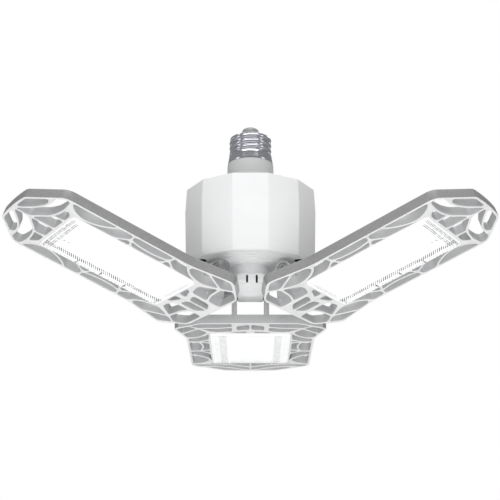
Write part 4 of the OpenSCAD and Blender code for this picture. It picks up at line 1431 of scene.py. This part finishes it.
@dataclass
class PanelFrame:
    """A panel's cast frame: rim, web of ribs, carrier plate with fins, and clevis arms.

    The cells are drawn in shares of the web's length and width, with their corners on the ribs'
    centre lines: inner cells lie by the hinge, side cells beside the lamp unit, outer cells at the tip.
    """

    light_z: float = -22.0
    depth: float = 5.9
    inner_x: float = -9.9
    tip_x: float = 124.0
    half_w: float = 41.2
    shoulder: Point = (2.8, 48.3)
    waist_x: float = 28.0
    bevel_x: float = 107.0
    inner_half: float = 30.5
    tip_half: float = 18.0
    tip_r: float = 200.0
    outline_r: float = 4.0
    rim_t: float = 1.4
    rib_t: float = 1.3
    pocket: Triple = (15.8, 95.8, 25.8)
    pocket_corner: float = 2.6
    plate: Point = (-19.5, -17.9)
    plate_lap: float = 0.6
    fin_count: int = 9
    fin_t: float = 1.4
    fin_h: float = 1.8
    arm_foot_x: float = 8.0
    arm_in: float = 8.5
    arm_out: float = 11.6
    knuckle_r: float = 5.2
    bore_r: float = 2.1
    bolt_pocket: Point = (4.2, 1.1)
    fillet: float = 2.4
    soft: float = 0.32
    inner_cells: tuple = (
        ((0.74, 0.04), (1, 0.04), (1, 0.34), (0.88, 0.31)),
        ((0.51, 0.81), (0.25, 0.955), (0.54, 1.165), (1.08, 1.075)),
        ((0.51, 0.81), (1.08, 1.075), (1.45, 1.015), (1.49, 0.9), (1.32, 0.77), (1.1, 0.7), (0.89, 0.67)),
    )
    arm_cells: tuple = (
        ((0.47, 0.48), (0.49, 0.66), (0.51, 0.81), (0.25, 0.955), (0, 0.76)),
        ((0.91, 0.5), (0.88, 0.6), (0.51, 0.81), (0.49, 0.66), (0.47, 0.48)),
    )
    arm_ends: tuple = ((0.25, 0.74), (0, 0.36), (0.36, 0.83))
    middle_cell: Point = (0.07, 0.66)
    side_cells: tuple = (
        ((-0.01, 0), (0.03, 0.1), (0.09, 0.32), (0.14, 0.7), (0.16, 1), (0.27, 1), (0.28, 0.53), (0.2, 0)),
        ((0.2, 0), (0.28, 0.53), (0.31, 0)),
        ((0.27, 1), *HOOP, (0.6, 1)),
        ((0.31, 0), *HOOP, (0.55, 0)),
        ((0.55, 0), (0.59, 0.53), (0.685, 0)),
        ((0.6, 1), (0.59, 0.53), (0.685, 0), (0.96, 0), *SIDE_BOW, (0.72, 1)),
        ((0.72, 1), *SIDE_BOW[::-1], (0.95, 0.1), (1.01, 0.3), (1.06, 0.62), (1.09, 1)),
    )
    outer_cells: tuple = (
        ((0, 0), (0, 0.366), (0.282, 0.366), *MIDDLE_BOW, (0.588, 0)),
        ((0, 0.366), (0.282, 0.366), *CORNER_BOW[::-1], (0.15, 0.745), (0, 0.6)),
        (
            (0.588, 0), (0.95, 0), *TIP_BOW[::-1], (0.525, 0.76), (0.54, 0.851), (0.4, 0.985), (0.31, 0.985),
            (0.263, 0.976), (0.23, 0.915), *CORNER_BOW, *MIDDLE_BOW,
        ),
        ((0.994, 0.111), (0.976, 0.435), (0.62, 0.775), *TIP_BOW),
    )

    def outline(self) -> list[Point]:
        """The frame's outline with its corners rounded.

        Returns:
            Its points.
        """
        sweep = math.degrees(math.asin(self.tip_half / self.tip_r))
        tip = arc(self.tip_r, [sweep * (1 - i / 4) for i in range(5)], (self.tip_x - self.tip_r, 0.0))
        half = [(self.inner_x, self.inner_half), self.shoulder, (self.waist_x, self.half_w)]
        half += [(self.bevel_x, self.half_w), *tip]
        return rounded([*half, *((x, -y) for x, y in reversed(half[:-1]))], self.outline_r, 6)

    def cells(self) -> list[list[Point]]:
        """Every web cell's corners on its ribs' centre lines, on both sides of the middle.

        Returns:
            The corners of each cell.
        """
        rim_line, half_rib = self.rim_t - self.rib_t / 2, self.rib_t / 2
        web_in, web_out, web_side = self.inner_x + rim_line, self.tip_x - rim_line, self.half_w - rim_line
        start, end, half = self.pocket
        border_in, border_out, border_side = start - half_rib, end + half_rib, half + half_rib

        def inner(s: Point) -> Point:
            """A corner of an inner cell."""
            return (web_in + s[0] * (border_in - web_in), s[1] * web_side)

        def side(s: Point) -> Point:
            """A corner of a side cell."""
            return (start + s[0] * (end - start), border_side + s[1] * (web_side - border_side))

        def outer(s: Point) -> Point:
            """A corner of an outer cell."""
            return (border_out + s[0] * (web_out - border_out), s[1] * web_side)

        low, high = self.arm_in + half_rib, self.arm_out - half_rib
        near, far = (inner((share, 0))[0] for share in self.middle_cell)
        first, last = (inner((share, 0))[0] for share in self.arm_ends[0])
        made = [[(near, 0.0), (first, low), (last, low), (far, 0.0)]]
        for cell, ends in zip(self.arm_cells, self.arm_ends[1:], strict=True):
            made.append([(inner((share, 0))[0], high) for share in ends] + [inner(s) for s in cell])
        for cells, place in ((self.inner_cells, inner), (self.side_cells, side), (self.outer_cells, outer)):
            made += [[place(s) for s in cell] for cell in cells]
        return made + [[(x, -y) for x, y in cell] for cell in made]

    def web(self) -> Workpiece:
        """The rim and the web, with the pocket for the lamp unit; each cell is drawn in by half a rib.

        Returns:
            The piece.
        """
        start, end, half = self.pocket
        pocket = rounded(box((start, end), (-half, half)), self.pocket_corner, 5)
        holes = [rounded(offset(cell, -self.rib_t / 2), self.fillet, 5) for cell in self.cells()]
        low, high, soft = self.light_z, self.light_z + self.depth, self.soft
        levels = [
            (low, soft, soft), (low + soft * 0.3, soft * 0.3, soft * 0.3), (low + soft, 0.0, 0.0),
            (high - soft, 0.0, 0.0), (high - soft * 0.3, soft * 0.3, soft * 0.3), (high, soft, soft),
        ]
        outline = self.outline()
        piece = Workpiece.plate("web", [outline, pocket, *holes], levels).dressed(SHADED_FRAME_GREY, LIT_RIB_FACE, SHADED_RIB_WALL)
        # Painted light and shade: light-side faces take the lit copy, walls away from the outline the lighter
        # shaded copy, all else the darker shaded copy.
        for face in piece.item.data.polygons:
            x, y, z = face.center
            if z < low + soft and abs(face.normal.z) > 0.3:
                face.material_index = 1
            elif abs(face.normal.z) < 0.7 and (x < 0.0 or gap_to(outline, (x, y)) > 0.5):
                face.material_index = 2
        return piece

    def carrier(self) -> Workpiece:
        """The carrier plate over the pocket, with its cooling fins.

        Returns:
            The piece.
        """
        start, end, half = self.pocket
        (low, high), lap, thick = self.plate, self.plate_lap, self.fin_t / 2
        corners = box((start - lap, end + lap), (-half - lap, half + lap))
        plate = Workpiece.block("carrier", rounded(corners, self.pocket_corner), low, high)
        foot, tip = high - 0.3, high + self.fin_h
        fin = rounded([(-thick, foot), (thick, foot), (thick - 0.15, tip), (-thick + 0.15, tip)], 0.35, 3)
        made = Workpiece.block("fins", fin, start - 0.5, end + 0.5, Facing.OUTWARD)
        made.moved(Matrix.Translation(Vector((0.0, -half, 0.0))))
        made.modified(
            "ARRAY", count=self.fin_count + 1, use_relative_offset=False, use_constant_offset=True,
            constant_offset_displace=(0.0, 2 * half / self.fin_count, 0.0),
        )
        # The carrier takes the darker shaded copy of the frame paint.
        return plate.joined(made).dressed(SHADED_FRAME_GREY)

    def arm(self) -> Workpiece:
        """One clevis arm with its knuckle, bolt bore and counterbore.

        Returns:
            The piece.
        """
        root = self.light_z + self.depth - 1.0
        outline = [(self.arm_foot_x, root), *arc(self.knuckle_r, range(0, 181, 12)), (self.inner_x, root)]
        pocket_r, pocket_h = self.bolt_pocket
        narrow = self.bore_r - pocket_r
        soft, inner, outer = self.soft, -self.arm_in, -self.arm_out
        levels = [(outer, soft, 0.25), (outer + soft * 0.3, soft * 0.3, 0.06), (outer + soft, 0.0, 0.0)]
        levels += [(outer + pocket_h, 0.0, 0.0), (outer + pocket_h + 0.01, 0.0, narrow)]
        levels += [(inner - soft, 0.0, narrow), (inner - soft * 0.3, soft * 0.3, narrow)]
        levels.append((inner, soft, narrow + 0.1))
        piece = Workpiece.plate("arm", [outline, circle(pocket_r, 32)], levels, Facing.SIDEWAYS)
        # The arms take the lighter shaded copy of the frame paint.
        return piece.dressed(SHADED_RIB_WALL)

    def build(self, side: Side) -> None:
        """Makes one panel's frame.

        Args:
            side: the panel.
        """
        near = self.arm()
        far = near.mirrored((0.0, 1.0, 0.0))
        piece = self.web().joined(self.carrier(), near, far)
        piece.item.name = f"{side.label}_frame_casting"
        piece.set_down(side.body, "panel_paint", f"{side.label}_frame", side.placed)


@dataclass
class Lens:
    """A panel's frosted lens, in the panel's own frame."""

    start: float = 16.0
    length: float = 79.6
    width: float = 51.2
    face_z: float = -22.8
    back_z: float = -19.9
    wall: float = 1.0
    corner: float = 2.4
    groove: float = 0.35

    def build(self, side: Side) -> None:
        """Makes one panel's lens: soft edges, a fine groove inside its border and a hollow back.

        Args:
            side: the panel.
        """
        half, face, floor = self.width / 2, self.face_z, self.face_z + self.groove
        outline = rounded(box((self.start, self.start + self.length), (-half, half)), self.corner, 5)
        levels = [(self.back_z, 0.0, 0.0), (floor, 0.0, 0.0), (face + 0.1, 0.1, 0.0), (face, 0.35, 0.0)]
        levels += [(face, 1.1, 0.0), (floor, 1.2, 0.0), (floor, 1.6, 0.0), (face, 1.75, 0.0)]
        piece = Workpiece.plate("lens", [outline], levels)
        hollow = offset(outline, -self.wall)
        piece.cut_by(Workpiece.block("hollow", hollow, face + self.wall, self.back_z + 1.0))
        piece.flatten_uv(-1.0 if side is Side.LEFT else 1.0).dressed(REAR_LENS if side is Side.REAR else LENS)
        piece.item.name = f"{side.label}_lens_tray"
        piece.set_down(side.body, "lens_plastic", f"{side.label}_lens", side.placed)


# Studio


@dataclass
class Studio:
    """Camera, lamps, world and floor, in metres."""

    lens_mm: float = 89.31
    sensor_mm: float = 36.0
    eye: Triple = (0.0, -0.72106, -0.29036)
    look_up: float = 18.05
    shift: float = -0.0008
    aim: Triple = (0.0, 0.0, -0.05)
    ambient: float = 0.3
    floor_z: float = -1.3
    floor_r: float = 6.0

    def camera(self) -> None:
        """The camera at the photograph's viewing angle."""
        data = bpy.data.cameras.new("camera")
        data.lens, data.sensor_width, data.shift_x = self.lens_mm, self.sensor_mm, self.shift
        data.clip_start, data.clip_end = 0.02, 20.0
        item = bpy.data.objects.new("camera", data)
        item.location = self.eye
        item.rotation_euler = (math.radians(90 + self.look_up), 0.0, 0.0)
        bpy.context.scene.collection.objects.link(item)
        bpy.context.scene.camera = item

    def lamp(
        self, name: str, place: Triple, size: Point, power: float, mirrored: bool = True, lights: bool = True
    ) -> None:
        """A soft area lamp that points at the light.

        Args:
            name: the lamp's name.
            place: where it stands.
            size: its width and height.
            power: its power in watts.
            mirrored: whether shiny surfaces show it.
            lights: whether matt surfaces are lit by it.
        """
        data = bpy.data.lights.new(name, "AREA")
        data.shape, data.size, data.size_y, data.energy = "RECTANGLE", size[0], size[1], power
        item = bpy.data.objects.new(name, data)
        item.location = place
        item.rotation_euler = (Vector(self.aim) - Vector(place)).to_track_quat("-Z", "Y").to_euler()
        item.visible_camera, item.visible_glossy, item.visible_diffuse = False, mirrored, lights
        bpy.context.scene.collection.objects.link(item)

    def world(self) -> None:
        """A world that lights softly and is white where it is seen."""
        world = bpy.data.worlds.new("studio")
        bpy.context.scene.world = world
        world.use_nodes = True
        wire = Wiring(world.node_tree)
        background = wire.tree.nodes["Background"]
        background.inputs["Color"].default_value = WHITE
        path = wire.add("LightPath").outputs
        seen = wire.math("MAXIMUM", path["Is Camera Ray"], path["Is Transmission Ray"])
        wire.feed(background.inputs["Strength"], wire.ranged(seen, 0.0, 1.0, self.ambient, 1.0))

    def floor(self) -> None:
        """A plain pale floor well below the lamp."""
        clear_selection()
        bpy.ops.mesh.primitive_circle_add(
            vertices=64, radius=self.floor_r, fill_type="NGON", location=(0.0, 0.0, self.floor_z)
        )
        item = bpy.context.object
        item.name = "studio_floor"
        item.data.materials.append(FLOOR_PALE.material())

    def build(self) -> None:
        """Sets up the studio."""
        bpy.context.scene.view_settings.view_transform = "Standard"
        self.camera()
        self.world()
        self.floor()
        self.lamp("key_lamp", (0.0, -0.8, 1.5), (2.0, 0.8), 9.0, mirrored=False)
        self.lamp("bar_lamp", (0.0, -0.7, 1.6), (2.0, 1.1), 20.0, lights=False)
        self.lamp("front_lamp", (0.0, -1.6, 0.3), (3.2, 0.9), 12.2, mirrored=False)
        self.lamp("low_lamp", (0.0, -1.5, -0.95), (2.6, 0.5), 11.0, mirrored=False)
        self.lamp("below_lamp", (0.0, -0.2, -1.1), (2.0, 1.6), 6.2, mirrored=False)
        for side in (-1.0, 1.0):
            self.lamp("side_lamp", (side * 1.6, -0.7, 0.1), (0.5, 1.6), 3.0)
        self.lamp("rear_lamp", (0.0, 1.3, 1.5), (1.6, 1.2), 20.0)


@dataclass
class GarageLight:
    """The whole light, as its sub-assemblies."""

    base: ScrewBase = field(default_factory=ScrewBase)
    housing: Housing = field(default_factory=Housing)
    hub: Hub = field(default_factory=Hub)
    hinge: Hinge = field(default_factory=Hinge)
    panel: PanelFrame = field(default_factory=PanelFrame)
    lens: Lens = field(default_factory=Lens)

    def build(self) -> None:
        """Builds every sub-assembly and dresses the CAD nodes that stay."""
        self.base.build()
        self.housing.build()
        self.hub.build()
        for side in Side:
            self.hinge.build(side)
            self.panel.build(side)
            self.lens.build(side)
        dress_cad_nodes()


def main() -> None:
    """Builds the light and its studio."""
    logging.basicConfig(level=logging.INFO, format="%(name)s: %(message)s")
    GarageLight().build()
    Studio().build()


if __name__ == "__main__":
    main()
